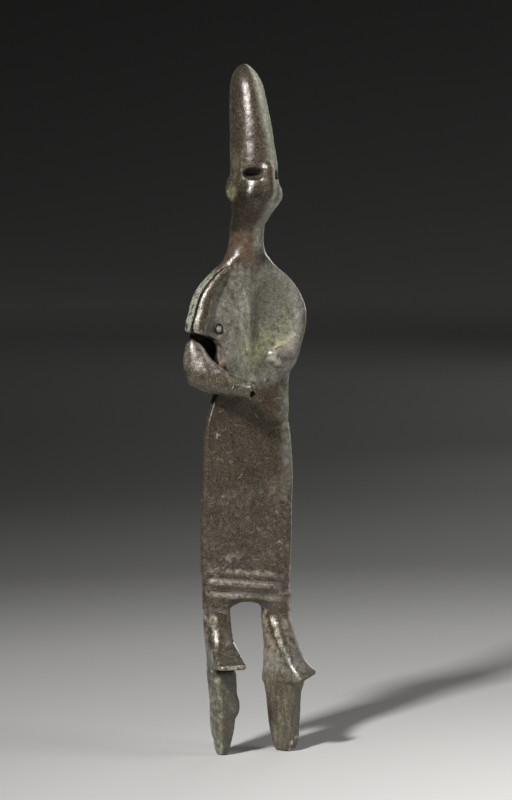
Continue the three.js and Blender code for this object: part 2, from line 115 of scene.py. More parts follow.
# The sleeve ends above the right forearm, and the gap below it stops short at gap_end.
SLEEVE = {"x": -20.0, "z": 123.3, "slope": -0.28, "gap_end": -8.3, "corner": 6.0}
ELBOW_WEB = ((-17.6, 2.0, 110.5), (-8.0, 2.9, 125.0))  # its low and high corners

ROBE = [
    Level(42.6, 14.3, 2, 0, 0, 6),
    Level(51, 14.7, 2, -0.1, 0, 6),
    Level(61.5, 15.2, 2, -0.1, 0, 6),
    Level(71.1, 15.3, 2, 0.1, 0, 5),
    Level(80.6, 15.2, 2.1, 0.5, 0, 4.4),
    Level(90.2, 14.8, 2.1, 0.3, 0, 4),
    Level(96.2, 14, 2.1, 0.2, 0, 4),
    Level(101.4, 13.2, 2.1, 1.1, 0, 4),
    Level(107.9, 12.1, 2.2, 1.8, 0, 4),
    Level(113.4, 12.4, 2.2, 1.9, 0, 4),  # waist
    Level(126, 12, 2, 1.2, 0, 4),
]
THIN_EDGE = {"reach": 9.0, "share": 0.55}
HEM_SLOPE = -0.085
HEM_RIBS = [
    {"z": 52.9, "slope": -0.10, "half": 1.0, "proud": 0.3},
    {"z": 49.0, "slope": -0.12, "half": 2.1, "proud": 1.0},
    {"z": 45.1, "slope": -0.13, "half": 1.9, "proud": 1.1},
]
RIB_BEND = {"half": 9.0, "rise": 0.9}  # how the lowest rib bends up over the arch
RIB_REACH = (-14.3, 13.4)
RIB_GAP = {"x": -0.6, "half": 1.6}
ARCH = {"right": -6.3, "left": 6.2, "top": 44.0, "corner": (5.6, 4.6), "edge": 2.6}

Arm = namedtuple("Arm", "elbow fist levels rounds blend")
RIGHT_ARM = Arm(
    elbow=(-17.6, 0.0),
    fist=(-4.2, -10.4),
    levels=[
        Level(-3.4, 1.8, 5.8, 0, 114.5, 2.1, 0.3),
        Level(-1.1, 2.4, 7, 0, 114.7, 2.1, 0.4),
        Level(2.1, 3.1, 6.4, 0, 112.9, 2.1, 0.35),
        Level(5, 3.5, 4.9, 0, 110.5, 2.1, 0.25),
        Level(9.4, 3.2, 3.6, 0, 108.4, 2.1, 0.1),
        Level(14.2, 2.5, 2.7, 0, 106.9, 2.1),
        Level(16.4, 2.6, 2.8, 0, 106.5, 2.1),
        Level(18.2, 2.6, 2.7, 0, 106.5, 2.1),
    ],
    rounds=(2.6, 1.9),
    blend=0.9,
)
LEFT_ARM = Arm(
    elbow=(14.6, -0.2),
    fist=(1.6, -9.9),
    levels=[
        Level(-2.4, 2.3, 4.8, 0, 117.6, 2.3),
        Level(2, 2.4, 3.8, 0, 116.4, 2.3),
        Level(6, 2.2, 2.8, 0, 115.3, 2.2),
        Level(11, 2, 2.3, 0, 115, 2.2),
        Level(14.5, 2.1, 2.1, 0, 116.2, 2.2),
        Level(17, 2.1, 2, 0, 116.6, 2.2),
    ],
    rounds=(2.4, 1.8),
    blend=2.6,
)
# The hole through each fist: its radius, how far its middle is from the fist's end, how far
# up and down from there it is cut, and how far it leans over that.
FIST_HOLES = [
    {"radius": 1.0, "back": 1.7, "dip": 6.0, "lean": 2.2},
    {"radius": 0.8, "back": 2.3, "dip": 6.0, "lean": 0.0},
]
# The opening of the right fist's hole on its outer side: along and out from the arm, and up.
FIST_MOUTH = {"along": 16.9, "out": 2.3, "up": -1.2, "size": (0.9, 1.7, 1.35)}

# turn is how far a foot points to the figure's left, in degrees. lift is how much its sole
# rises for each millimetre towards the toes, and bank for each towards the figure's left.
# edge is how far its ends are rounded.
Leg = namedtuple("Leg", "turn levels blend edge lift bank", defaults=(0, 0))
RIGHT_LEG = Leg(
    turn=-11,
    lift=0.03,
    levels=[
        Level(26.2, 3.55, 8.1, -11.05, -5.2, 7, 0.27),  # sole
        Level(27.2, 3.55, 8.1, -11.05, -5.2, 7, 0.27),  # toe edge
        Level(28.2, 3.57, 7.5, -10.95, -4.6, 6, 0.25),
        Level(30.6, 3.65, 6.1, -10.7, -3.1, 4.5, 0.2),
        Level(34, 3.85, 4.8, -10.4, -1.4, 2.4, 0.08),  # ankle
        Level(40, 4, 3.95, -10.3, -0.3, 2),
        Level(45.6, 3.3, 2.2, -10.6, -0.4, 3),  # root behind the hem
    ],
    blend=1.1,
    edge=0.5,
)
LEFT_LEG = Leg(
    turn=16,
    lift=0.1,
    bank=0.33,
    levels=[
        Level(21.2, 3.5, 8.1, 11.4, -5.3, 6, 0.13),
        Level(22.2, 3.5, 8.1, 11.4, -5.3, 6, 0.13),
        Level(23.4, 3.5, 7.5, 11.2, -4.7, 5, 0.12),
        Level(26.8, 3.7, 6.3, 10.8, -3.3, 3.2, 0.09),
        Level(31, 3.9, 5.5, 10.5, -2.4, 2.4, 0.05),
        Level(35, 4.1, 5.1, 10.3, -1.6, 2.1),
        Level(41, 4.3, 4, 10.3, -0.1, 2.1),
        Level(45.6, 3.4, 2.3, 10.6, -0.6, 3),
    ],
    blend=2.2,
    edge=0.5,
)
RIGHT_TANG = Leg(
    turn=-3,
    levels=[
        Level(0, 1.1, 1.9, -8.1, 0.5, 2.6),
        Level(1, 1.5, 2.5, -8.1, 0.5, 3),
        Level(4.5, 2, 3.3, -8.2, 0.2, 4),
        Level(9, 2.5, 3.9, -8.5, -0.4, 5),
        Level(17, 3, 4.1, -8.9, -1.2, 5),
        Level(24, 3.3, 4.3, -9.5, -1.4, 5),
        Level(28, 2.2, 2.8, -9.9, -1.3, 4),
    ],
    blend=0.8,
    edge=0.3,
)
LEFT_TANG = Leg(
    turn=22,
    levels=[
        Level(0, 1.3, 2.2, 11.2, -3.4, 2.6),
        Level(1, 2, 3.3, 11.2, -3.4, 3),
        Level(3.5, 2.6, 4, 11.2, -3.4, 3.5),
        Level(9, 3.1, 4.5, 11.1, -3.2, 3.5),
        Level(17, 3.4, 5.2, 10.9, -3.1, 3.5),
        Level(21, 3.6, 6, 10.9, -3.5, 3.5),
        Level(27, 2.4, 3.4, 10.6, -2.4, 3),
    ],
    blend=0.8,
    edge=0.3,
)
ANKLE = 4  # the level of a leg at its ankle
TANG_LUMP = {"at": (-6.9, -4.5, 14.6), "size": (1.4, 1.5, 2.8), "blend": 1.6}

# How far each form is rounded into the ones before it, or a cut into what it cuts.
BLENDS = {
    "head": 2.0,
    "mantle": 1.2,
    "bead": 2.4,
    "sleeve": 0.9,
    "web": 0.6,
    "robe": 1.6,
    "hole": 0.35,
    "groove": 0.3,
    "boss": 0.2,
    "mouth": 0.3,
}
# The boxes, as low and high corners, that hold the relief on the chest, the groove along the
# mantle's edge, and the hem's ribs.
CHEST_BOX = ((-20, -5, 108), (20, 0, 148))
GROOVE_BOX = ((-22, -5, 117), (-4, 0, 143))
HEM_BOX = ((-16.5, -3.5, 41.5), (16.5, 0.5, 58.5))

# Where the casting's own axis lies in the frame.
AXIS = (0.581, 4.195, 0.0)

# Grid, camera and light.

# The grid that the field is held on: its step, its corners, and the distance it starts with.
STEP = 0.42
GRID_LOW = (-22.0, -16.2, -1.6)
GRID_HIGH = (21.5, 6.6, 201.6)
FAR = 40.0

# The camera: degrees round from the front, where minus is to the figure's right, and in metres
# its distance from the casting's axis, its height, the height that it aims at, and how far it
# is moved sideways.
VIEW = {"azimuth": -33.0, "distance": 1.1, "height": 0.184, "aim": 0.103, "shift": 0.00275}
IMAGE_HEIGHT = 800
PIXEL = 0.2897 * MM

# A light stands at its angles and distance from the point that it is aimed at. Its spread is
# in degrees and its power in watts.
Light = namedtuple("Light", "name azimuth elevation distance size power spread aim")
LIGHTS = [
    Light("key", -66, 40, 1.4, (0.12, 0.18), 2.2, 52, (0.07, -0.13, 0.05)),
    Light("side", 95, 20, 1.4, (2.2, 0.9), 3.2, 180, (0.0, 0.0, 0.1)),
    Light("rim", 130, 6, 1.2, (0.4, 0.3), 0.20, 50, (0.0, 0.0, 0.1)),
    Light("top", 42, 48, 1.3, (0.6, 0.6), 0.6, 70, (0.05, -0.10, 0.0)),
    Light("wall", -42, 45, 1.6, (0.8, 0.4), 0.3, 110, (1.85, 2.0, 0.15)),
]
WORLD_STRENGTH = 0.03

# The round floor: the radius of its flat part and of its bend, the height of its wall, and
# how many rings and sides it is made of.
FLOOR = {"flat": 2.3, "bend": 1.2, "tall": 3.5, "flat_rings": 20, "bend_rings": 12, "sides": 96}
# The floor's shades, a painted pool of light and its falling off, by their distance, in metres, from a
# place in front of the figure.
FLOOR_MIDDLE = (0.06, -0.18, 0.0)
FLOOR_REACH = 4.0
FLOOR_PAINTED_LIGHT = [
    (0.08, 0.68),
    (0.25, 0.50),
    (0.40, 0.44),
    (0.60, 0.22),
    (0.90, 0.20),
    (1.40, 0.33),
    (2.30, 0.50),
    (2.60, 0.68),
    (2.95, 0.46),
    (3.30, 0.28),
    (3.80, 0.24),
]

# Colours and surface.

# The colours of the bronze, of what covers it, and of the light and shade painted on it, as shares of
# the light they give back.
COLOURS = {
    "brown": (0.068, 0.050, 0.032),
    "umber": (0.042, 0.033, 0.024),
    "russet": (0.108, 0.068, 0.042),
    "grey": (0.215, 0.207, 0.165),
    "stone": (0.215, 0.190, 0.160),
    "green": (0.380, 0.380, 0.285),
    "moss": (0.100, 0.102, 0.068),
    "verdigris": (0.250, 0.258, 0.135),
    "olive": (0.140, 0.125, 0.070),
    "tan": (0.215, 0.180, 0.125),
    # The next colour is painted light, an orange tint where light reaches the foot of the recess's wall
    # under the right sleeve.
    "painted_light_orange": (0.300, 0.140, 0.050),
    "bright": (0.620, 0.560, 0.450),
    # The next colour is painted shade, laid on the lower face and jaw.
    "painted_shade": (0.060, 0.046, 0.032),
    # The next colour is dirt, and is also used as painted shade in hollows and grooves.
    "dirt_and_shade": (0.012, 0.010, 0.008),
}
DARK_COLOURS = ("painted_shade", "dirt_and_shade")
CHANNELS = ("Red", "Green", "Blue")
PAPER_TINT = (1, 0.985, 0.96)

# How metallic and how rough the bronze is, from dry corrosion to worn metal, how metallic it is
# where it is black, and the depth of its finest relief.
METALLIC = (0.0, 0.15)
ROUGHNESS = (0.66, 0.28)
BLACK_METALLIC = 0.85
RELIEF_DEPTH = 0.16 * MM
# The two runs of scratches on the robe: how a noise is drawn out along each axis, and how wide
# a line it leaves.
SCRATCHES = [((0.10, 0.10, 0.42), 0.0035), ((0.20, 0.20, 0.13), 0.0030)]

# Large odd numbers that scatter a cell's place and its seed, and the shifts and numbers that
# then mix the bits, all kept to WORD.
SCATTER = (73856093, 19349663, 83492791)
SEED_SCATTER = 2654435761
MIX = ((15, 2246822519), (13, 3266489917))
WORD = 0xFFFFFFFF
NOISE_GAIN = 1.6
# The seed of each noise.
SEEDS = {
    "swell": 1,
    "ripple": 2,
    "grit": 3,
    "pits": 5,
    "broken ends": 8,
    "blotch": 31,
    "crumb": 57,
    "chest": 71,
    "tang": 83,
    "specks": 91,
}
# How far out, and how far in, the field is read to tell hollows and thin edges, in millimetres.
HOLLOW_REACHES = (1.0, 2.0, 4.0)
EDGE_REACHES = (0.8, 1.6)


# The distance field.


def values_at(levels, key, at):
    """One value of the levels at many places, on a curve that never overshoots."""
    place = np.array([level.at for level in levels], float)
    value = np.array([getattr(level, key) for level in levels], float)
    slope = np.diff(value) / np.diff(place)
    before, after = slope[:-1], slope[1:]
    level_off = before * after <= 0
    both = np.where(level_off, 1, before + after)
    middle = np.where(level_off, 0, 2 * before * after / both)
    tangent = np.concatenate([slope[:1], middle, slope[-1:]])
    at = np.clip(at, place[0], place[-1])
    i = np.clip(np.searchsorted(place, at) - 1, 0, len(place) - 2)
    span = place[i + 1] - place[i]
    u = (at - place[i]) / span
    rise = u * u * (3 - 2 * u)
    return (
        value[i]
        + (value[i + 1] - value[i]) * rise
        + span * (tangent[i] * u * (1 - u) ** 2 - tangent[i + 1] * u * u * (1 - u))
    )


def smooth_min(a, b, blend):
    """The lesser of two distances, rounded over blend where they meet."""
    near = np.maximum(blend - np.abs(a - b), 0) / max(blend, 1e-6)
    return np.minimum(a, b) - near * near * blend / 4


def smooth_max(a, b, blend):
    return -smooth_min(-a, -b, blend)


def hump(offset, half_width):
    """A smooth hump of height 1 at the middle that falls to 0 at its half width."""
    u = np.minimum(np.abs(offset) / half_width, 1)
    return (1 - u * u) ** 2


def ramp(value, start, end):
    """Goes smoothly from 0 at start to 1 at end, which may be the lower of the two."""
    u = np.clip((value - start) / (end - start), 0, 1)
    return u * u * (3 - 2 * u)


def cos_sin(degrees):
    return math.cos(math.radians(degrees)), math.sin(math.radians(degrees))


class Field:
    """Distances to the bronze's skin on a grid, in millimetres, below 0 inside it."""

    def __init__(self):
        self.low = np.array(GRID_LOW)
        self.axes = [np.arange(a, b, STEP) for a, b in zip(GRID_LOW, GRID_HIGH)]
        self.value = np.full([len(axis) for axis in self.axes], FAR)

    def window(self, low, high):
        """The part of the grid in a box, as slices and as coordinates to calculate with."""
        slices, coordinates = [], []
        for k, axis in enumerate(self.axes):
            start = max(np.searchsorted(axis, low[k]) - 1, 0)
            stop = min(np.searchsorted(axis, high[k]) + 1, len(axis))
            slices.append(slice(start, stop))
            shape = [1, 1, 1]
            shape[k] = -1
            coordinates.append(axis[start:stop].reshape(shape))
        return tuple(slices), coordinates

    def add(self, box, part, blend):
        """Joins a part that lies in the box. part gives its distances at coordinates."""
        place, at = self.window(*box)
        self.value[place] = smooth_min(self.value[place], part(*at), blend)

    def cut(self, box, part, blend):
        place, at = self.window(*box)
        self.value[place] = smooth_max(self.value[place], -part(*at), blend)

    def press(self, box, depth):
        """Moves the skin in by depth, or out where depth is below 0."""
        place, at = self.window(*box)
        self.value[place] += depth(*at)

    def at(self, points):
        """The field's value at any points, between its grid's."""
        place = (points - self.low) / STEP
        limit = np.array(self.value.shape) - 2
        cell = np.clip(np.floor(place).astype(int), 0, limit)
        part = np.clip(place - cell, 0, 1)
        total = np.zeros(len(points))
        for corner in product((0, 1), repeat=3):
            weight = np.prod(np.where(corner, part, 1 - part), axis=1)
            i, j, k = (cell + corner).T
            total += weight * self.value[i, j, k]
        return total

    def slope(self, points):
        """The direction in which the field rises fastest, and how fast, at any points."""
        reach = STEP / 2
        columns = []
        for axis in np.eye(3) * reach:
            columns.append((self.at(points + axis) - self.at(points - axis)) / (2 * reach))
        return np.stack(columns, axis=1)


def around(low, high, margin=3.0):
    """A box with room round it for blends."""
    return np.array(low, float) - margin, np.array(high, float) + margin


def box_of(levels):
    """The box of an upright part, whichever way its sections are turned."""
    reach = [max(level.w, level.d) for level in levels]
    xs = [level.x for level in levels]
    ys = [level.y for level in levels]
    low = (min(xs) - max(reach), min(ys) - max(reach), levels[0].at)
    high = (max(xs) + max(reach), max(ys) + max(reach), levels[-1].at)
    return around(low, high)


def loft(levels, side, fore, along, rounds=(0, 0), end_blend=0.5):
    """Distances from a skin through superellipse sections. side, fore and along are the
    coordinates in the part's own directions."""
    start, end = levels[0].at, levels[-1].at
    n = values_at(levels, "n", along)
    deep = (fore - values_at(levels, "y", along)) / values_at(levels, "d", along)
    flare = values_at(levels, "flare", along) * np.clip(deep, -1, 1)
    width = values_at(levels, "w", along) * (1 - flare)
    across = np.abs(side - values_at(levels, "x", along)) / width
    share = (across**n + np.abs(deep) ** n) ** (1 / n)
    for length, outward, tip in ((rounds[0], -1, start), (rounds[1], 1, end)):
        if length:
            into = np.maximum(1 + outward * (along - tip) / length, 0)
            share = np.sqrt(share * share + into * into)
    rise = np.sqrt(sum(slope * slope for slope in np.gradient(share, STEP)))
    skin = (share - 1) / np.maximum(rise, 0.02)
    if not rounds[0]:
        skin = smooth_max(skin, start - along, end_blend)
    if not rounds[1]:
        skin = smooth_max(skin, along - end, end_blend)
    return skin


def turned(levels, turn):
    """The levels with their middles given along a turned part's own directions."""
    c, s = cos_sin(turn)
    return [level._replace(x=level.x * c + level.y * s, y=level.y * c - level.x * s) for level in levels]


def upright(levels, turn=0, lift=0, bank=0, rounds=(0, 0), end_blend=0.5):
    """An upright part, with its toes lifted and banked if it is a leg."""
    c, s = cos_sin(turn)
    own = turned(levels, turn)
    ankle = levels[ANKLE] if lift else None

    def part(x, y, z):
        if lift:
            forward = np.maximum((x - ankle.x) * s - (y - ankle.y) * c, 0)
            leftward = (x - ankle.x) * c + (y - ankle.y) * s
            low = np.clip((ankle.at - z) / (ankle.at - levels[1].at), 0, 1)
            z = z - (lift * forward + bank * leftward * ramp(forward, 2, 9)) * low
        return loft(own, x * c + y * s, y * c - x * s, z, rounds, end_blend)

    return part


def ellipsoid(at, size, turn=0):
    c, s = cos_sin(turn)

    def part(x, y, z):
        x, y, z = x - at[0], y - at[1], z - at[2]
        own = ((x * c + y * s) / size[0], (y * c - x * s) / size[1], z / size[2])
        share = np.sqrt(sum(a * a for a in own))
        rise = np.sqrt(sum((a / b) ** 2 for a, b in zip(own, size)))
        return share * (share - 1) / np.maximum(rise, 1e-3)

    return part


def bar(start, end, radius):
    """A round bar with domed ends."""
    start, end = np.array(start, float), np.array(end, float)
    way = end - start
    length = way @ way

    def part(x, y, z):
        offset = (x - start[0], y - start[1], z - start[2])
        share = np.clip(sum(a * b for a, b in zip(offset, way)) / length, 0, 1)
        return np.sqrt(sum((a - share * b) ** 2 for a, b in zip(offset, way))) - radius

    return part


def ball(part, hand=1):
    """The box and the distances of an ellipsoid, mirrored to the other side for a hand of -1."""
    at, size = np.array(part["at"]), part["size"]
    at[0] *= hand
    return around(at, at, 3 + max(size)), ellipsoid(at, size, hand * part.get("turn", 0))


def block(low, high):
    """A plain box."""

    def part(x, y, z):
        gaps = [np.maximum(a - p, p - b) for a, b, p in zip(low, high, (x, y, z))]
        return np.maximum(np.maximum(gaps[0], gaps[1]), gaps[2])

    return part


# The figure's forms.


def add_head(field):
    field.add(box_of(HEAD), upright(HEAD, rounds=(0, CAP_TIP_ROUND)), BLENDS["head"])
    for hand in (-1, 1):
        field.add(*ball(EAR, hand), EAR["blend"])
        field.cut(*ball(EAR_HOLLOW, hand), EAR_HOLLOW["blend"])
        field.add(*ball(CHEEKBONE, hand), CHEEKBONE["blend"])
    for hollow in EYE_HOLLOWS:
        box, socket = ball(hollow)

        def eye(x, y, z, socket=socket, floor=hollow["floor"]):
            return smooth_max(socket(x, y, z), floor - z, EYE_EDGES["floor"])

        field.cut(box, eye, EYE_EDGES["rim"])
    nose = bar(NOSE["top"], NOSE["tip"], NOSE["radius"])
    field.add(around(NOSE["tip"], NOSE["top"]), nose, NOSE["blend"])


def plate_edges(levels, z):
    """The x of a plate's edges on the figure's right and left at heights z."""
    middle, half = values_at(levels, "x", z), values_at(levels, "w", z)
    return middle - half, middle + half


def beaded(whole, x, y, z):
    """The mantle's plate, with a bead along the front of its right edge."""
    right, _ = plate_edges(MANTLE, z)
    radius = np.interp(z, *zip(*BEAD_RADIUS))
    bead = np.hypot(x - right - radius - 0.1, y - BEAD_Y) - radius
    inward = right + radius - x
    forward = BEAD_Y - y
    corner = np.hypot(np.maximum(inward, 0), np.maximum(forward, 0)) - radius
    corner = corner + np.minimum(np.maximum(inward, forward), 0)
    in_front = np.where(y < BEAD_Y, corner, -FAR)
    rolled = smooth_min(np.maximum(whole, in_front), bead, BLENDS["bead"])
    fade = ramp(z, 110, 114) * ramp(z, 143, 140)
    return whole + (rolled - whole) * fade


def add_mantle(field):
    plate = upright(MANTLE)

    def sleeved(x, y, z):
        edge = SLEEVE["z"] + SLEEVE["slope"] * (x - SLEEVE["x"])
        above = (z - edge) / math.hypot(1, SLEEVE["slope"])
        gap = smooth_max(above, x - SLEEVE["gap_end"], SLEEVE["corner"])
        return smooth_max(beaded(plate(x, y, z), x, y, z), -gap, BLENDS["sleeve"])

    field.add(box_of(MANTLE), sleeved, BLENDS["mantle"])
    field.add(around(*ELBOW_WEB), block(*ELBOW_WEB), BLENDS["web"])


def flat_distance(x, z, start, end):
    """How far places are, seen from the front, from the line between two points."""
    way = np.array(end) - np.array(start)
    share = np.clip(((x - start[0]) * way[0] + (z - start[1]) * way[1]) / (way @ way), 0, 1)
    return np.hypot(x - start[0] - share * way[0], z - start[1] - share * way[1])


def chest_relief(x, y, z):
    """How far the front of the mantle is sunk in, or stands out where it is below 0."""
    right, left = plate_edges(MANTLE, z)
    front = ramp(y, -0.3, -1.6)
    upper = ramp(z, 116.0, 121.0)
    valley = BEAD_VALLEY["depth"] * hump(x - right - BEAD_VALLEY["inset"], BEAD_VALLEY["half"])
    low, high = KEEL["z"]
    keel = KEEL["proud"] * hump(x - KEEL["x"], KEEL["width"])
    keel = keel * ramp(z, low, low + 8) * ramp(z, high, high - 8)
    inside = hump(x - CHEST_HOLLOW["x"], CHEST_HOLLOW["half_width"])
    inside = inside * hump(z - CHEST_HOLLOW["z"], CHEST_HOLLOW["half_height"])
    low, high = ARM_BORDER["z"]
    border = ARM_BORDER["proud"] * hump(x - left + ARM_BORDER["inset"], ARM_BORDER["half"])
    border = border * ramp(z, low - 4, low + 4) * ramp(z, high, high - 12)
    lapel = 0
    for top in LAPELS["tops"]:
        lapel = np.maximum(lapel, hump(flat_distance(x, z, LAPELS["foot"], top), LAPELS["radius"]))
    sunk = CHEST_HOLLOW["depth"] * inside + valley * upper + LAPELS["depth"] * lapel
    return front * (sunk - keel - border)


def edge_groove(x, y, z):
    right, _ = plate_edges(MANTLE, z)
    low, high = EDGE_GROOVE["z"]
    gap = np.hypot(x - right - EDGE_GROOVE["inset"], y - EDGE_GROOVE["y"]) - EDGE_GROOVE["radius"]
    return np.maximum(gap, np.maximum(low - z, z - high))


def breast_ring(x, y, z):
    """The groove round the small boss on the chest."""
    boss = BREAST["at"]
    middle = np.hypot(x - boss[0], z - boss[2]) - BREAST["ring"]
    return np.hypot(middle, y - boss[1]) - BREAST["groove"]


def shape_chest(field):
    field.press(CHEST_BOX, chest_relief)
    field.cut(GROOVE_BOX, edge_groove, BLENDS["groove"])
    box, boss = ball(BREAST)
    field.cut(box, breast_ring, BLENDS["groove"])
    field.add(box, boss, BLENDS["boss"])


def hem_ribs(x, y, z):
    """How far the front of the hem stands out, as a depth below 0."""
    front = ramp(y, -0.3, -1.2)
    ends = ramp(x, RIB_REACH[0], RIB_REACH[0] + 2.0) * ramp(x, RIB_REACH[1], RIB_REACH[1] - 6)
    first, _, lowest = HEM_RIBS
    total = 0
    for rib in HEM_RIBS:
        gap = 1 - hump(x - RIB_GAP["x"], RIB_GAP["half"]) * (rib is first)
        bend = RIB_BEND["rise"] * hump(x, RIB_BEND["half"]) * (rib is lowest)
        own = z - rib["slope"] * x - rib["z"] - bend
        total = total + rib["proud"] * gap * hump(own, rib["half"])
    return -front * ends * total


def add_robe(field):
    strap = upright(ROBE)

    def thinned(x, y, z):
        right, _ = plate_edges(ROBE, z)
        inner = ramp(x - right, 0, THIN_EDGE["reach"])
        share = THIN_EDGE["share"] + (1 - THIN_EDGE["share"]) * inner
        whole = strap(x, y, z)
        return np.maximum(whole, (np.abs(y) - values_at(ROBE, "d", z) * share))

    field.add(box_of(ROBE), thinned, BLENDS["robe"])
    field.press(HEM_BOX, hem_ribs)


def arm_way(arm):
    """An arm's elbow, the direction it runs in, and the direction to its inner side."""
    start, end = np.array(arm.elbow), np.array(arm.fist)
    way = (end - start) / np.linalg.norm(end - start)
    return start, way, np.array([-way[1], way[0]])


def add_arms(field):
    for arm in (RIGHT_ARM, LEFT_ARM):
        start, way, side = arm_way(arm)

        def forearm(x, y, z, arm=arm, start=start, way=way, side=side):
            along = (x - start[0]) * way[0] + (y - start[1]) * way[1]
            across = (x - start[0]) * side[0] + (y - start[1]) * side[1]
            return loft(arm.levels, across, z, along, arm.rounds)

        heights = [level.y for level in arm.levels]
        ends = np.array([arm.elbow, arm.fist])
        low = (*(ends.min(0) - 4), min(heights) - 6.5)
        high = (*(ends.max(0) + 4), max(heights) + 6.5)
        field.add(around(low, high), forearm, arm.blend)


def pierce_fists(field):
    for arm, size in zip((RIGHT_ARM, LEFT_ARM), FIST_HOLES):
        start, way, _ = arm_way(arm)
        last = arm.levels[-1]
        middle = np.array([*(start + way * (last.at - size["back"])), last.y])
        down = np.array([*(way * size["lean"]), -size["dip"]])
        hole = bar(middle - down, middle + down, size["radius"])
        reach = np.abs(down) + 2
        field.cut((middle - reach, middle + reach), hole, BLENDS["hole"])
    start, way, side = arm_way(RIGHT_ARM)
    flat = start + way * FIST_MOUTH["along"] - side * FIST_MOUTH["out"]
    mouth = {
        "at": (*flat, RIGHT_ARM.levels[-1].y + FIST_MOUTH["up"]),
        "size": FIST_MOUTH["size"],
        "turn": math.degrees(math.atan2(way[1], way[0])),
    }
    field.cut(*ball(mouth), BLENDS["mouth"])


def add_leg(field, leg):
    part = upright(leg.levels, leg.turn, leg.lift, leg.bank, end_blend=leg.edge)
    field.add(box_of(leg.levels), part, leg.blend)


def add_legs(field):
    for tang in (RIGHT_TANG, LEFT_TANG):
        add_leg(field, tang)
    field.add(*ball(TANG_LUMP), TANG_LUMP["blend"])
    for leg in (RIGHT_LEG, LEFT_LEG):
        add_leg(field, leg)


def cut_arch(field):
    """The arched opening between the legs."""
    middle = (ARCH["left"] + ARCH["right"]) / 2
    half = (ARCH["left"] - ARCH["right"]) / 2

    wide, high = ARCH["corner"]

    def arch(x, y, z):
        across = (np.abs(x - middle) - half) / wide + 1
        up = (z - HEM_SLOPE * (x - middle) - ARCH["top"]) / high + 1
        round_off = np.hypot(np.maximum(across, 0), np.maximum(up, 0))
        inside = np.minimum(np.maximum(across, up), 0)
        return (round_off + inside - 1) * high + 0 * y

    field.cut(around((ARCH["right"], -4, 38), (ARCH["left"], 4, ARCH["top"]), 3), arch, ARCH["edge"])


def cast():
    field = Field()
    add_robe(field)
    cut_arch(field)
    add_legs(field)
    add_mantle(field)
    shape_chest(field)
    add_head(field)
    add_arms(field)
    pierce_fists(field)
    return field


# From field to mesh.


def net_points(field):
    """A point in each cell of the grid that the skin passes through, and the number of each
    cell's point, or -1 where it has none."""
    value = field.value
    inside = value < 0
    cells = tuple(n - 1 for n in value.shape)
    count = np.zeros(cells, np.int8)
    for i, j, k in product((0, 1), repeat=3):
        count += inside[i : i + cells[0], j : j + cells[1], k : k + cells[2]]
    crossed = (count > 0) & (count < 8)
    number = np.full(cells, -1)
    number[crossed] = np.arange(crossed.sum())
    cell = np.argwhere(crossed)
    total, hits = np.zeros((len(cell), 3)), np.zeros(len(cell))
    for axis in range(3):
        for corner in product((0, 1), repeat=3):
            if corner[axis]:
                continue
            start = cell + corner
            end = start + np.eye(3, dtype=int)[axis]
            a, b = value[tuple(start.T)], value[tuple(end.T)]
            hit = (a < 0) != (b < 0)
            share = np.where(hit, a / np.where(hit, a - b, 1), 0)
            place = start.astype(float)
            place[:, axis] += share
            total[hit] += place[hit]
            hits[hit] += 1
    return field.low + STEP * total / hits[:, None], number


def net_faces(inside, number):
    """The four-sided faces that close the net of points, one across each edge of the grid that
    the skin passes through."""
    faces = []
    for axis in range(3):
        one, two = (axis + 1) % 3, (axis + 2) % 3
        span = [slice(1, -1)] * 3
        span[axis] = slice(0, -1)
        ahead = [slice(1, -1)] * 3
        ahead[axis] = slice(1, None)
        a, b = inside[tuple(span)], inside[tuple(ahead)]
        edges = np.argwhere(a != b)
        outward = a[tuple(edges.T)]
        edges = edges + 1
        edges[:, axis] -= 1
        ring = []
        for back_one, back_two in ((1, 1), (0, 1), (0, 0), (1, 0)):
            at = edges.copy()
            at[:, one] -= back_one
            at[:, two] -= back_two
            ring.append(number[tuple(at.T)])
        ring = np.stack(ring, axis=1)
        faces.append(np.where(outward[:, None], ring, ring[:, ::-1]))
    return np.concatenate(faces)


def relaxed(points, faces, field, rounds=4):
    """The points spread evenly over the skin, and put back onto it after each round."""
    edges = np.concatenate([faces[:, [0, 1]], faces[:, [1, 2]], faces[:, [2, 3]], faces[:, [3, 0]]])
    edges = np.unique(np.sort(edges, axis=1), axis=0)
    ends = np.concatenate([edges, edges[:, ::-1]])
    near = np.bincount(ends[:, 0], minlength=len(points))
    for _ in range(rounds):
        mean = np.stack(
            [np.bincount(ends[:, 0], points[ends[:, 1], k], len(points)) / near for k in range(3)],
            axis=1,
        )
        points = points + 0.5 * (mean - points)
        slope = field.slope(points)
        steep = np.maximum((slope * slope).sum(1), 0.05)
        step = np.clip(field.at(points) / steep, -0.5 * STEP, 0.5 * STEP)
        points = points - slope * step[:, None]
    return points


# Noise.


def hashed(cell, seed):
    """A number from 0 to 1 for each whole-numbered cell, the same on every run."""
    mixed = seed * SEED_SCATTER
    for place, factor in zip(cell.astype(np.int64).T, SCATTER):
        mixed = mixed ^ (place * factor)
    mixed = mixed & WORD
    for shift, factor in MIX:
        mixed = ((mixed ^ (mixed >> shift)) * factor) & WORD
    return ((mixed ^ (mixed >> 16)) & 0xFFFFFF) / 0xFFFFFF


def noise(points, size, seed):
    """Smooth noise from about -1 to 1, with features of about that size."""
    place = points / size
    cell = np.floor(place)
    part = place - cell
    fade = part**3 * (part * (part * 6 - 15) + 10)
    total = np.zeros(len(points))
    for corner in product((0, 1), repeat=3):
        at = cell + corner
        lean = [hashed(at, seed + k) * 2 - 1 for k in range(3)]
        push = sum(a * (part[:, k] - corner[k]) for k, a in enumerate(lean))
        total += np.prod(np.where(corner, fade, 1 - fade), axis=1) * push
    return total * NOISE_GAIN


def rough(points, size, octaves, seed):
    """Noise with finer and weaker noise on top."""
    return sum(noise(points, size / 2**k, seed + 11 * k) / 2**k for k in range(octaves))


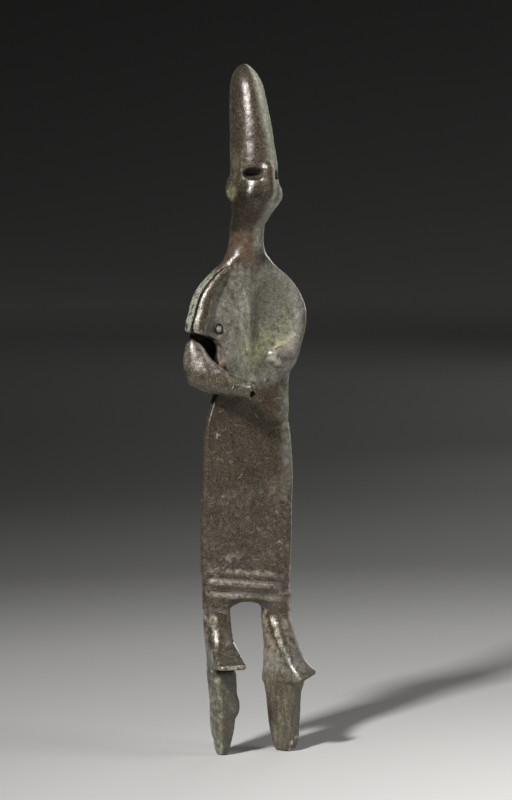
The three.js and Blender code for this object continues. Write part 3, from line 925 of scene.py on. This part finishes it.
def pits(points, spacing, radius, seed, share=1.0):
    """Round pits scattered at random: 0 outside them and 1 at their deepest."""
    cell = np.floor(points / spacing)
    deepest = np.zeros(len(points))
    for step in product((-1, 0, 1), repeat=3):
        at = cell + step
        offset = np.stack([hashed(at, seed + k) for k in range(3)], axis=1)
        wide = radius * (0.5 + hashed(at, seed + 3))
        there = hashed(at, seed + 4) < share
        gap = np.linalg.norm(points - (at + offset) * spacing, axis=1) / wide
        deepest = np.maximum(deepest, there * np.clip(1 - gap * gap, 0, 1) ** 1.5)
    return deepest


# The fine surface.


def openness(field, points, normal, reaches):
    """How far the skin lies in a hollow: 0 in the open and 1 deep inside."""
    total = 0
    for reach in reaches:
        total = total + np.clip(1 - field.at(points + normal * reach) / reach, 0, 1)
    return total / len(reaches)


def sharpness(field, points, normal, reaches):
    """How far the skin stands out as an edge: 0 on a flat and 1 on a thin edge."""
    total = 0
    for reach in reaches:
        total = total + np.clip(1 + field.at(points - normal * reach) / reach, 0, 1)
    return total / len(reaches)


def weather(points, normal, matte):
    """Moves the points by the casting's uneven surface and its corrosion."""
    z = points[:, 2]
    uneven = 0.10 * noise(points, 9.0, SEEDS["swell"]) + 0.05 * noise(points, 4.0, SEEDS["ripple"])
    grit = (0.03 + 0.05 * matte) * rough(points, 1.4, 2, SEEDS["grit"])
    pit = 0.12 * pits(points, 3.4, 0.55, SEEDS["pits"], 0.5)
    broken = ramp(rough(points, 2.6, 2, SEEDS["broken ends"]), -0.1, 0.7)
    chipped = 0.55 * ramp(z, 7.0, 1.0) * broken
    return points + normal * (uneven + grit - pit - chipped)[:, None]


# What covers the bronze, and the highlights and shade painted on it.


Place = namedtuple("Place", "points x y z normal turn blotch crumb")


def place_of(points, normal):
    """The points with what the patches below are placed by. turn is the way the skin faces, in
    degrees round from the front, where minus is to the figure's right."""
    x, y, z = points.T
    turn = np.degrees(np.arctan2(normal[:, 0], -normal[:, 1]))
    blotch = rough(points, 6.0, 3, SEEDS["blotch"])
    crumb = rough(points, 1.5, 3, SEEDS["crumb"])
    return Place(points, x, y, z, normal, turn, blotch, crumb)


def band(value, low, high, soft):
    """1 between low and high, falling to 0 over soft outside them."""
    return ramp(value, low - soft, low) * ramp(value, high + soft, high)


def spot(at, x, z, half_width, half_height):
    """A round patch, seen from the front."""
    gap = np.hypot((at.x - x) / half_width, (at.z - z) / half_height)
    return ramp(gap, 1.4, 0.4)


def streaks(at, lean, across, along, seed):
    """Noise drawn out along the upright, leaning towards the figure's left on the way down."""
    drawn = at.points.copy()
    drawn[:, 0] += lean * at.z
    drawn[:, 2] *= across / along
    return rough(drawn, across, 2, seed)


# Each layer of a region is a colour, how much of it there is, its shine, and how broken its
# edge is.
Layer = namedtuple("Layer", "colour share shine torn", defaults=(1.0,))


def right_distance(at, part):
    """How far the points are from the middle of a part on the figure's right."""
    x, y, z = part["at"]
    return np.linalg.norm(at.points - (-x, y, z), axis=1)


def head_cover(at):
    up = ramp(at.z, 143, 149)
    cap = ramp(at.z, 168, 172)
    lag = 0.7 * np.clip(192 - at.z, 0, 24) * ramp(at.z, 157, 165)
    away = ramp(at.turn - lag, -26, 12)
    behind = ramp(at.turn, -80, -110)
    under = ramp(at.normal[:, 2], 0.1, -0.25)
    ear = ramp(right_distance(at, EAR_HOLLOW), 3, 1.2)
    lobe = ramp(right_distance(at, EAR), 4.6, 3.4) * ramp(at.x, -5.6, -6.4)
    return [
        Layer("russet", 0.60 * band(at.z, 143, 156, 6) * ramp(at.turn, 10, -5), 0.8),
        Layer("umber", 0.55 * cap * ramp(at.turn, -45, -80), 0.75),
        Layer("umber", 0.50 * band(at.z, 153, 164.5, 2.5) * ramp(at.turn, 6, -8), 0.85, 0.8),
        Layer("russet", 0.5 * band(at.z, 151, 158, 2) * under, 0.4, 0.6),
        # Painted shade: the lower face and jaw are darkened and kept from mirroring.
        Layer("painted_shade", 0.75 * band(at.z, 153, 162.5, 2.5) * ramp(at.turn, 14, 0), 0.45, 0.4),
        # Grey and pale green on the side of the neck and head towards the figure's left: partly patina,
        # partly a painted reflection of the side lamp.
        Layer("grey", up * (0.85 * away + 0.3 * behind), 0.05, 0.25),
        Layer("green", 0.95 * ramp(at.turn - lag, -10, 18) * ramp(at.z, 155, 162), 0, 0.25),
        Layer("olive", 0.36 * band(at.z, 168, 174, 3) * ramp(at.turn, -45, -70), 0.5),
        Layer("brown", 0.9 * lobe, 0.9, 0.5),
        Layer("verdigris", 0.70 * ear, 0.4),
    ]


def chest_cover(at):
    front = ramp(at.normal[:, 1], -0.2, -0.6) * band(at.z, 110, 139, 6)
    side = ramp(at.normal[:, 0], -0.45, -0.75) * ramp(at.x, -6, -9) * band(at.z, 121, 141, 2)
    side = side * ramp(at.y, -2.3, -1.9)
    right, left = plate_edges(MANTLE, at.z)
    roll = band(at.x - right, 0.3, 2.6, 1.2) * band(at.z, 121, 141, 3)
    border = band(left - at.x, 0, 4.2, 1.2) * band(at.z, 112, 140, 4)
    light = 0.5 + 0.7 * streaks(at, 0.35, 1.1, 7, SEEDS["chest"])
    centre = band(at.x, -7, 0, 4) * band(at.z, 110, 134, 6)
    keel_side = band(at.x, 0, 2.2, 1.6) * band(at.z, 122, 134, 4)
    boss = np.hypot(at.x - BREAST["at"][0], at.z - BREAST["at"][2]) + 20 * (at.y > 0)
    groove = np.hypot(at.x - right - EDGE_GROOVE["inset"], at.y - EDGE_GROOVE["y"])
    groove = ramp(groove, EDGE_GROOVE["radius"] + 0.3, EDGE_GROOVE["radius"])
    return [
        Layer("grey", front * (0.56 + 0.12 * ramp(at.x, -12, -2)), 0.30, 0.6),
        Layer("green", 0.34 * front * centre * light, 0.2, 0.4),
        Layer("stone", 0.50 * front * ramp(at.x, -1, -6) * light, 0.45, 0.5),
        Layer("moss", 0.50 * front * band(at.x, 2, 12, 3) * band(at.z, 123, 137, 5), 0.3),
        Layer("verdigris", 0.60 * front * spot(at, 4.5, 118, 8, 7.5), 0.1, 0.9),
        Layer("verdigris", 0.35 * front * spot(at, 11.5, 122, 4, 7), 0.1, 0.9),
        Layer("stone", 0.40 * front * border, 0.4, 0.3),
        Layer("umber", 0.45 * front * keel_side, 0.3, 0.6),
        Layer("brown", 0.80 * front * roll, 1, 0.5),
        # Painted highlight on the bead where it faces the key lamp.
        Layer("bright", 0.38 * roll * band(at.turn, -64, -34, 10), 1, 0.4),
        # The dark ring is painted shade in the groove round the boss, and the bright tip a painted
        # highlight.
        Layer("dirt_and_shade", 0.75 * ramp(np.abs(boss - BREAST["ring"]), 0.5, 0.2), 0.3, 0.2),
        Layer("bright", 0.35 * ramp(boss, 0.9, 0.3), 1, 0.4),
        Layer("green", side, 0, 1.1),
        Layer("umber", 0.75 * side * ramp(at.crumb, 0.15, 0.45), 0.2, 0.6),
        # Painted shade: a dark line in the groove along the mantle's right edge.
        Layer("dirt_and_shade", 0.85 * groove * band(at.z, 119.5, 141.5, 1), 0.1, 0.3),
    ]


def arm_cover(at):
    out = ramp(at.y, -2.5, -4)
    right = ramp(at.x, -2, -4) * band(at.z, 100, 121, 2)
    right = right * np.maximum(out, ramp(at.x, -12, -15))
    left = ramp(at.x, -1, 2) * band(at.z, 111, 121, 1) * out
    low = ramp(at.normal[:, 2], 0.1, -0.5)
    return [
        Layer("brown", 1.2 * right, 0.95, 0.3),
        Layer("olive", right * (0.20 + 0.3 * low), 0.75),
        Layer("umber", 0.35 * right * low, 0.6, 0.6),
        # Painted highlight on the right forearm's upper side.
        Layer("stone", 0.55 * right * ramp(at.x, -9, -12.5) * band(at.z, 112.5, 120, 2), 1, 1.1),
        Layer("stone", 0.9 * left, 0.75, 0.5),
        # Painted highlights on the left fist, on its crumbs and on its lower rim.
        Layer("bright", 0.34 * left * ramp(at.y, -7.5, -9.5) * ramp(at.crumb, -0.1, 0.3), 0.9, 0.5),
        Layer("bright", 0.8 * left * ramp(at.y, -7.5, -9.5) * low, 0.9, 0.5),
        # Painted light: an orange tint where light reaches the foot of the recess's wall.
        Layer("painted_light_orange", 0.7 * spot(at, -10.2, 113.2, 1.6, 2.2) * band(at.y, -2, 1.6, 0.8), 0.2),
    ]


def robe_cover(at):
    strap = band(at.z, 44, 108, 3)
    low = band(at.z, 44, 75, 12)
    edge = ramp(at.x, 8, 14) * ramp(at.z, 66, 84)
    rim = ramp(at.turn, 12, 36) * ramp(np.abs(at.turn), 140, 100)
    line = at.z - HEM_SLOPE * 1.45 * at.x
    hem = ramp(at.normal[:, 1], -0.2, -0.5)
    reach = hem * band(at.x, -13, 8, 3)
    creases = sum(band(line, foot, foot + 0.6, 0.6) for foot in (42.6, 46.7, 50.9)) * hem
    crests = sum(band(line, foot, foot + 1, 0.5) for foot in (45.2, 49, 52.4)) * reach
    under = band(at.x, -8.5, 8.5, 1) * band(at.z, 36, 46, 1) * ramp(at.normal[:, 2], -0.05, -0.35)
    return [
        # Painted shade where the right forearm's shadow falls on the robe.
        Layer("umber", 0.50 * strap * ramp(at.x, 2, -9) * ramp(at.z, 80, 100), 0.6, 0.4),
        Layer("russet", 0.45 * strap * spot(at, 9.5, 77, 3, 5), 0.6),
        Layer("stone", 0.14 * low, 0.6, 0.8),
        # Paler grey and green along the robe's edge on the figure's left: partly patina, partly painted
        # light of the side and rim lamps on the rounded edge.
        Layer("grey", 0.60 * strap * edge, 0.2, 0.5),
        Layer("green", 0.95 * band(at.z, 28, 108, 3) * rim * ramp(at.x, 6, 9), 0.25, 0.4),
        # Painted shade in the creases between the hem's ribs.
        Layer("umber", 0.50 * creases, 0.6, 0.6),
        # Painted shade on the downward-facing edge over the arch between the legs.
        Layer("umber", 0.90 * under, 0.4, 0.4),
        # Painted highlights along the ribs' crests, partly wear.
        Layer("bright", 0.30 * crests, 1, 0.35),
        Layer("moss", 0.8 * strap * spot(at, 9, 73.8, 1.4, 1.4), 0.2, 0.6),
        Layer("moss", 0.7 * strap * spot(at, 12.2, 77.2, 1.2, 1.6), 0.2, 0.6),
        Layer("stone", 0.5 * strap * spot(at, -6.2, 57.6, 2.2, 1.4), 0.4, 2),
    ]


def leg_cover(at):
    below = ramp(at.z, 46, 41)
    right = below * ramp(at.x, 0, -1)
    left = below * ramp(at.x, 0, 1)
    inner = left * ramp(at.turn, -60, -80)
    feet = ramp(at.z, 33.5, 30) * ramp(at.z, 21, 24)
    tang = ramp(at.z, 26, 22)
    toes = ramp(at.y, -9, -10.5) * band(at.z, 24, 27.6, 0.5)
    grain = 0.5 + 0.5 * streaks(at, 0, 0.9, 9, SEEDS["tang"])
    right_shin = right * band(at.turn, -60, -34, 8) * band(at.z, 33.5, 40, 3)
    left_shin = left * band(at.turn, -57, -46, 6) * band(at.z, 31.5, 38.5, 2.5)
    left_front = left * band(at.turn, -20, 40, 10) * band(at.z, 26, 38, 3)
    left_foot = left * band(at.z, 22, 29, 2) * ramp(at.turn, -50, -20)
    right_tang, left_tang = right * tang, left * tang
    return [
        Layer("moss", 0.55 * feet, 0.5, 1.3),
        Layer("umber", 0.45 * feet, 0.6, 1.3),
        Layer("brown", 0.9 * toes, 1, 0.4),
        # Painted highlight along the toes' lip.
        Layer("bright", 0.24 * toes, 1, 0.8),
        # Painted highlights on both shins, on the side that faces the key lamp.
        Layer("bright", 0.44 * right_shin, 1, 0.9),
        Layer("bright", 0.54 * left_shin, 1, 0.6),
        # Paler stone on the front of the left leg: partly patina, partly painted light.
        Layer("stone", 0.36 * left_front, 0.7, 0.8),
        Layer("olive", 0.60 * inner * band(at.z, 28, 45, 3), 0.3, 1.3),
        Layer("tan", 0.62 * inner * band(at.z, 22, 38, 5), 0.2, 1.3),
        Layer("stone", 0.80 * inner * band(at.z, 20, 27, 3), 0.2, 0.8),
        Layer("green", 0.26 * right * ramp(at.turn, -50, -75) * ramp(at.z, 22, 26), 0.3, 0.9),
        Layer("moss", 0.50 * right_tang, 0.5, 1),
        Layer("umber", 0.40 * right_tang * ramp(at.turn, -45, -25), 0.5, 0.8),
        Layer("green", 0.26 * right_tang * ramp(at.turn, -45, -75), 0.25, 0.6),
        Layer("verdigris", 0.50 * right_tang * hump(at.turn + 66, 44) * (0.3 + 0.8 * grain), 0.2, 0.3),
        Layer("olive", left_tang * (0.45 + 0.3 * grain), 0.35, 0.5),
        Layer("tan", 0.34 * left_tang * grain * ramp(at.turn, 10, -40), 0.3, 0.6),
        Layer("umber", 0.65 * left_tang * (1.1 - grain), 0.4, 0.6),
        Layer("umber", 0.40 * left_foot, 0.5, 0.7),
    ]


def patches(at):
    """What covers each region, and the highlights and shade painted on it: a colour, how much of it
    there is, and its shine.
    """
    for region in (head_cover, chest_cover, arm_cover, robe_cover, leg_cover):
        for layer in region(at):
            broken = layer.share + layer.torn * (0.25 * at.blotch + 0.40 * at.crumb)
            amount = ramp(broken, 0, 1) * ramp(layer.share, 0, 0.2)
            yield layer.colour, amount, layer.shine


def wear(at, hollow, edge):
    """What covers the whole casting: specks, worn edges and chips, dirt with painted shade in the
    hollows, and painted shade in the eye sockets and in the recess under the right sleeve.
    """
    speck = pits(at.points, 1.7, 0.42, SEEDS["specks"], 0.35)
    yield "bright", 0.30 * speck * ramp(at.blotch, -0.4, 0.3), 0.7
    yield "bright", 0.22 * ramp(edge, 0.66, 0.92) * ramp(at.crumb, -0.3, 0.4), 0.9
    chips = ramp(at.z, 6, 2.5) * ramp(at.crumb + at.blotch, 0.1, 0.4) * ramp(at.x, 0, 1)
    yield "bright", 0.9 * chips * ramp(at.turn, -40, 0), 0.9
    left_fist = ramp(at.x, 1, 3) * band(at.z, 108, 122, 2)
    # Dirt and painted shade: the hollows are darkened by how enclosed they are, less so by the left
    # fist.
    yield "dirt_and_shade", ramp(hollow, 0.42, 0.68) * (1 - 0.7 * left_fist), 0.1
    # Painted shade, with some dark patina: the eye sockets are darkened.
    for eye in EYE_HOLLOWS:
        x, _, z = eye["at"]
        wide, _, high = eye["size"]
        gap = np.hypot((at.x - x) / (0.85 * wide), (at.z - z - 0.3) / high) + (at.y > -4)
        yield "umber", ramp(gap, 1.05, 0.85) * (0.5 if x > 0 else 1), 0.1
    # Painted shade: the recess under the right sleeve is darkened where it faces forward and to the
    # figure's right.
    cavity = band(at.x, -19, -7.4, 0.6) * band(at.z, 109, 122.4, 0.6) * ramp(at.y, -0.9, 0.4)
    facing = ramp(np.minimum(at.normal[:, 1], at.normal[:, 0]), -0.1, -0.5)
    yield "dirt_and_shade", cavity * facing, 0.1


def cover(points, normal, hollow, edge):
    """The colour at each point, its shine from 0 on dry corrosion to 1 on worn metal, and how
    much of it is black."""
    at = place_of(points, normal)
    shade = 1 + 0.20 * at.blotch + 0.22 * at.crumb
    colour = np.array(COLOURS["brown"]) * np.maximum(shade, 0.3)[:, None]
    shine = np.full(len(points), 0.9)
    black = np.zeros(len(points))
    for name, amount, gloss in chain(patches(at), wear(at, hollow, edge)):
        tint = np.array(COLOURS[name]) * (1 + 0.25 * at.crumb)[:, None]
        colour = colour + (tint - colour) * amount[:, None]
        shine = shine + (gloss - shine) * amount
        black = black + ((name in DARK_COLOURS) - black) * amount
    return colour, shine, black


# The mesh.


def build_mesh(name, points, faces):
    mesh = bpy.data.meshes.new(name)
    mesh.vertices.add(len(points))
    mesh.vertices.foreach_set("co", (points * MM).ravel())
    mesh.loops.add(faces.size)
    mesh.loops.foreach_set("vertex_index", faces.ravel())
    mesh.polygons.add(len(faces))
    mesh.polygons.foreach_set("loop_start", np.arange(0, faces.size, 4))
    mesh.polygons.foreach_set("use_smooth", np.ones(len(faces), bool))
    mesh.update(calc_edges=True)
    mesh.validate()
    return mesh


def add_object(name, data):
    """A new object in the scene, made of a mesh, a light or a camera."""
    added = bpy.data.objects.new(name, data)
    bpy.context.collection.objects.link(added)
    return added


def add_values(mesh, name, values):
    """Keeps one number for each point, for the material to read."""
    layer = mesh.attributes.new(name, "FLOAT", "POINT")
    layer.data.foreach_set("value", np.asarray(values, np.float32))


def within(points, low, high):
    """The points, narrowed by a hair along each axis that would leave the box."""
    own_low, own_high = points.min(0), points.max(0)
    share = np.minimum((high - low) / (own_high - own_low), 1)
    points = points * share
    return points + np.maximum(low - points.min(0), 0) - np.maximum(points.max(0) - high, 0)


def make_figure():
    field = cast()
    points, number = net_points(field)
    faces = net_faces(field.value < 0, number)
    points = relaxed(points, faces, field)
    normal = field.slope(points)
    normal /= np.maximum(np.linalg.norm(normal, axis=1), 1e-6)[:, None]
    hollow = openness(field, points, normal, HOLLOW_REACHES)
    edge = sharpness(field, points, normal, EDGE_REACHES)
    colour, shine, black = cover(points, normal, hollow, edge)
    finished = weather(points, normal, 1 - shine)
    low, high = (np.array(corner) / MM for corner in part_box("figure"))
    placed = within(finished + np.array(AXIS), low, high)
    mesh = build_mesh("figure_bronze", placed, faces)
    add_values(mesh, "shine", shine)
    add_values(mesh, "black", black)
    for name, values in zip(("red", "green", "blue"), colour.T):
        add_values(mesh, name, values)
    add_values(mesh, "robe", band(points[:, 2], 42, 108, 6) * ramp(normal[:, 1], -0.3, -0.7))
    return add_object("figure_bronze", mesh)


# Materials.


class Graph:
    """Short ways to add shader nodes to a new material."""

    def __init__(self, name):
        self.material = bpy.data.materials.new(name)
        self.material.use_nodes = True
        self.tree = self.material.node_tree
        self.shader = self.tree.nodes["Principled BSDF"]

    def add(self, kind, inputs=None, **settings):
        node = self.tree.nodes.new("ShaderNode" + kind)
        for name, value in settings.items():
            setattr(node, name, value)
        for name, value in (inputs or {}).items():
            self.feed(node, name, value)
        return node

    def feed(self, node, name, value):
        if isinstance(value, bpy.types.NodeSocket):
            self.tree.links.new(value, node.inputs[name])
        else:
            node.inputs[name].default_value = value

    def attribute(self, name):
        return self.add("Attribute", attribute_name=name).outputs["Fac"]

    def place(self, scale=(1, 1, 1)):
        """The point's coordinates in millimetres, scaled along each axis."""
        own = self.add("TexCoord").outputs["Object"]
        factors = tuple(share / MM for share in scale)
        return self.add("VectorMath", {0: own, 1: factors}, operation="MULTIPLY").outputs["Vector"]

    def noise(self, place, scale, detail=3, roughness=0.55, distortion=0.0):
        inputs = {
            "Vector": place,
            "Scale": scale,
            "Detail": detail,
            "Roughness": roughness,
            "Distortion": distortion,
        }
        return self.add("TexNoise", inputs).outputs["Fac"]

    def math(self, operation, a, b=0.0):
        return self.add("Math", {0: a, 1: b}, operation=operation).outputs[0]

    def times(self, a, b):
        return self.math("MULTIPLY", a, b)

    def between(self, value, low, high, start=0.0, end=1.0):
        """start where value is low, end where it is high, and smooth between."""
        inputs = {"Value": value, "From Min": low, "From Max": high, "To Min": start, "To Max": end}
        return self.add("MapRange", inputs, interpolation_type="SMOOTHSTEP").outputs["Result"]

    def mix(self, share, a, b, blend="MIX"):
        node = self.add("Mix", data_type="RGBA", blend_type=blend)
        for index, value in ((0, share), (6, a), (7, b)):
            self.feed(node, index, value)
        return node.outputs[2]


def scratches(graph):
    """Thin lines across the robe, each a narrow step of a noise drawn out sideways."""
    lines = 0.0
    for scale, width in SCRATCHES:
        field = graph.noise(graph.place(scale), 1.0, 2, 0.4)
        gap = graph.math("ABSOLUTE", graph.math("SUBTRACT", field, 0.5))
        line = graph.between(gap, width, width * 0.3)
        there = graph.between(graph.noise(graph.place(scale), 2.3, 1, 0.5), 0.52, 0.60)
        lines = graph.math("MAXIMUM", graph.times(line, there), lines)
    return graph.times(lines, graph.attribute("robe"))


def bronze_colour(graph, grain, fine, scratch):
    """The cover's colour, mottled, with dark specks, bright scratches, and pale specks that are partly
    painted glints.
    """
    parts = {channel: graph.attribute(channel.lower()) for channel in CHANNELS}
    colour = graph.add("CombineColor", parts).outputs["Color"]
    shade = graph.between(grain, 0.25, 0.75, 0.62, 1.38)
    shade = graph.times(shade, graph.between(fine, 0.3, 0.7, 0.62, 1.38))
    mottle = graph.add("CombineColor", dict.fromkeys(CHANNELS, shade)).outputs["Color"]
    colour = graph.mix(1.0, colour, mottle, "MULTIPLY")
    bright, dirt_and_shade = (*COLOURS["bright"], 1), (*COLOURS["dirt_and_shade"], 1)
    # Pale specks, partly painted glints.
    speck = graph.between(graph.noise(graph.place(), 3.4, 2, 0.5), 0.63, 0.71, 0.0, 0.5)
    colour = graph.mix(speck, colour, bright)
    dark = graph.between(graph.noise(graph.place(), 2.9, 2, 0.5), 0.36, 0.30, 0.0, 0.6)
    colour = graph.mix(dark, colour, dirt_and_shade)
    return graph.mix(graph.times(scratch, 0.5), colour, bright)


def bronze_height(graph, shine, grain, fine, scratch):
    """The finest relief, coarser on corrosion than on worn metal."""
    coarse = graph.between(shine, 0.2, 1.0, 1.0, 0.6)
    height = graph.times(grain, 0.65)
    height = graph.math("ADD", height, graph.times(fine, 0.35))
    height = graph.times(height, coarse)
    return graph.math("SUBTRACT", height, graph.times(scratch, 0.2))


def bronze_material():
    graph = Graph("bronze")
    place = graph.place()
    shine = graph.attribute("shine")
    grain = graph.noise(place, 1.3, 5, 0.68)
    fine = graph.noise(place, 2.7, 3, 0.7)
    scratch = scratches(graph)
    graph.feed(graph.shader, "Base Color", bronze_colour(graph, grain, fine, scratch))
    black = graph.times(graph.attribute("black"), BLACK_METALLIC)
    metal = graph.math("MAXIMUM", graph.between(shine, 0.0, 1.0, *METALLIC), black)
    graph.feed(graph.shader, "Metallic", metal)
    uneven = graph.between(fine, 0.3, 0.7, -0.06, 0.06)
    dull = graph.between(shine, 0.0, 1.0, *ROUGHNESS)
    graph.feed(graph.shader, "Roughness", graph.math("ADD", dull, uneven))
    graph.shader.inputs["Specular IOR Level"].default_value = 0.8
    height = bronze_height(graph, shine, grain, fine, scratch)
    bump = graph.add("Bump", {"Height": height, "Distance": RELIEF_DEPTH, "Strength": 1.0})
    graph.feed(graph.shader, "Normal", bump.outputs["Normal"])
    return graph.material


def floor_material():
    """Pale paper, with a painted pool of light and its falling off, shaded by the distance from a place
    in front of the figure.
    """
    graph = Graph("floor")
    own = graph.add("TexCoord").outputs["Object"]
    offset = graph.add("VectorMath", {0: own, 1: FLOOR_MIDDLE}, operation="SUBTRACT").outputs["Vector"]
    length = graph.add("VectorMath", {0: offset}, operation="LENGTH").outputs["Value"]
    share = graph.math("DIVIDE", length, FLOOR_REACH)
    shades = graph.add("ValToRGB", {"Fac": share})
    elements = shades.color_ramp.elements
    elements[0].position, elements[1].position = 0, 1
    for distance, shade in FLOOR_PAINTED_LIGHT:
        element = elements.new(distance / FLOOR_REACH)
        element.color = (*(shade * tint for tint in PAPER_TINT), 1)
    elements[0].color = elements[1].color
    elements[-1].color = elements[-2].color
    graph.feed(graph.shader, "Base Color", shades.outputs["Color"])
    graph.shader.inputs["Roughness"].default_value = 0.9
    graph.shader.inputs["Specular IOR Level"].default_value = 0.1
    return graph.material


# Stage, camera and lights.


def floor_profile():
    """The radius and height of each ring of the floor."""
    flat, bend, rings = FLOOR["flat"], FLOOR["bend"], FLOOR["flat_rings"]
    profile = [(flat * (ring / rings) ** 2, 0.0) for ring in range(1, rings + 1)]
    rings = FLOOR["bend_rings"]
    for ring in range(1, rings + 1):
        angle = math.radians(90 * ring / rings)
        profile.append((flat + bend * math.sin(angle), bend * (1 - math.cos(angle))))
    profile.append((flat + bend, FLOOR["tall"]))
    return profile


def make_stage():
    """A round floor that curves up into a wall, far enough off for a camera inside it."""
    sides, profile = FLOOR["sides"], floor_profile()
    vertices, faces = [(0, 0, 0)], []
    for radius, height in profile:
        for k in range(sides):
            turn = 2 * math.pi * k / sides
            vertices.append((radius * math.cos(turn), radius * math.sin(turn), height))
    for k in range(sides):
        faces.append((0, 1 + k, 1 + (k + 1) % sides))
    for ring in range(len(profile) - 1):
        for k in range(sides):
            a, b = 1 + ring * sides + k, 1 + ring * sides + (k + 1) % sides
            faces.append((a, a + sides, b + sides, b))
    mesh = bpy.data.meshes.new("floor")
    mesh.from_pydata(vertices, [], faces)
    for polygon in mesh.polygons:
        polygon.use_smooth = True
    floor = add_object("floor", mesh)
    floor.data.materials.append(floor_material())


def towards(azimuth, elevation):
    """The direction from the figure, azimuth degrees round from its front."""
    a, e = math.radians(azimuth), math.radians(elevation)
    return Vector((math.sin(a) * math.cos(e), -math.cos(a) * math.cos(e), math.sin(e)))


def look_against(thing, way):
    """Turns a light or a camera to look against a direction, with its top up."""
    thing.rotation_mode = "QUATERNION"
    thing.rotation_quaternion = way.to_track_quat("Z", "Y")


def make_light(light):
    data = bpy.data.lights.new(light.name, "AREA")
    data.shape = "RECTANGLE"
    data.size, data.size_y = light.size
    data.energy = light.power
    data.spread = math.radians(light.spread)
    lamp = add_object(light.name, data)
    way = towards(light.azimuth, light.elevation)
    lamp.location = Vector(light.aim) + way * light.distance
    look_against(lamp, way)


def make_camera():
    """The photograph's view, about the casting's axis."""
    back = towards(VIEW["azimuth"], 0)
    right = Vector((-back.y, back.x, 0))
    foot = Vector(AXIS) * MM + right * VIEW["shift"]
    place = foot + back * VIEW["distance"] + Vector((0, 0, VIEW["height"]))
    aim = foot + Vector((0, 0, VIEW["aim"]))
    data = bpy.data.cameras.new("camera")
    data.sensor_width = 36.0
    data.lens = data.sensor_width * (place - aim).length / (IMAGE_HEIGHT * PIXEL)
    data.clip_start, data.clip_end = 0.01, 50
    camera = add_object("camera", data)
    camera.location = place
    look_against(camera, place - aim)
    bpy.context.scene.camera = camera


def make_world():
    world = bpy.data.worlds.new("world")
    world.use_nodes = True
    inputs = world.node_tree.nodes["Background"].inputs
    inputs["Color"].default_value = (1, 1, 1, 1)
    inputs["Strength"].default_value = WORLD_STRENGTH
    bpy.context.scene.world = world


figure = make_figure()
figure.data.materials.append(bronze_material())
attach(figure, "root")
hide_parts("figure")

make_stage()
make_camera()
make_world()
for light in LIGHTS:
    make_light(light)
bpy.context.scene.view_settings.view_transform = "Standard"
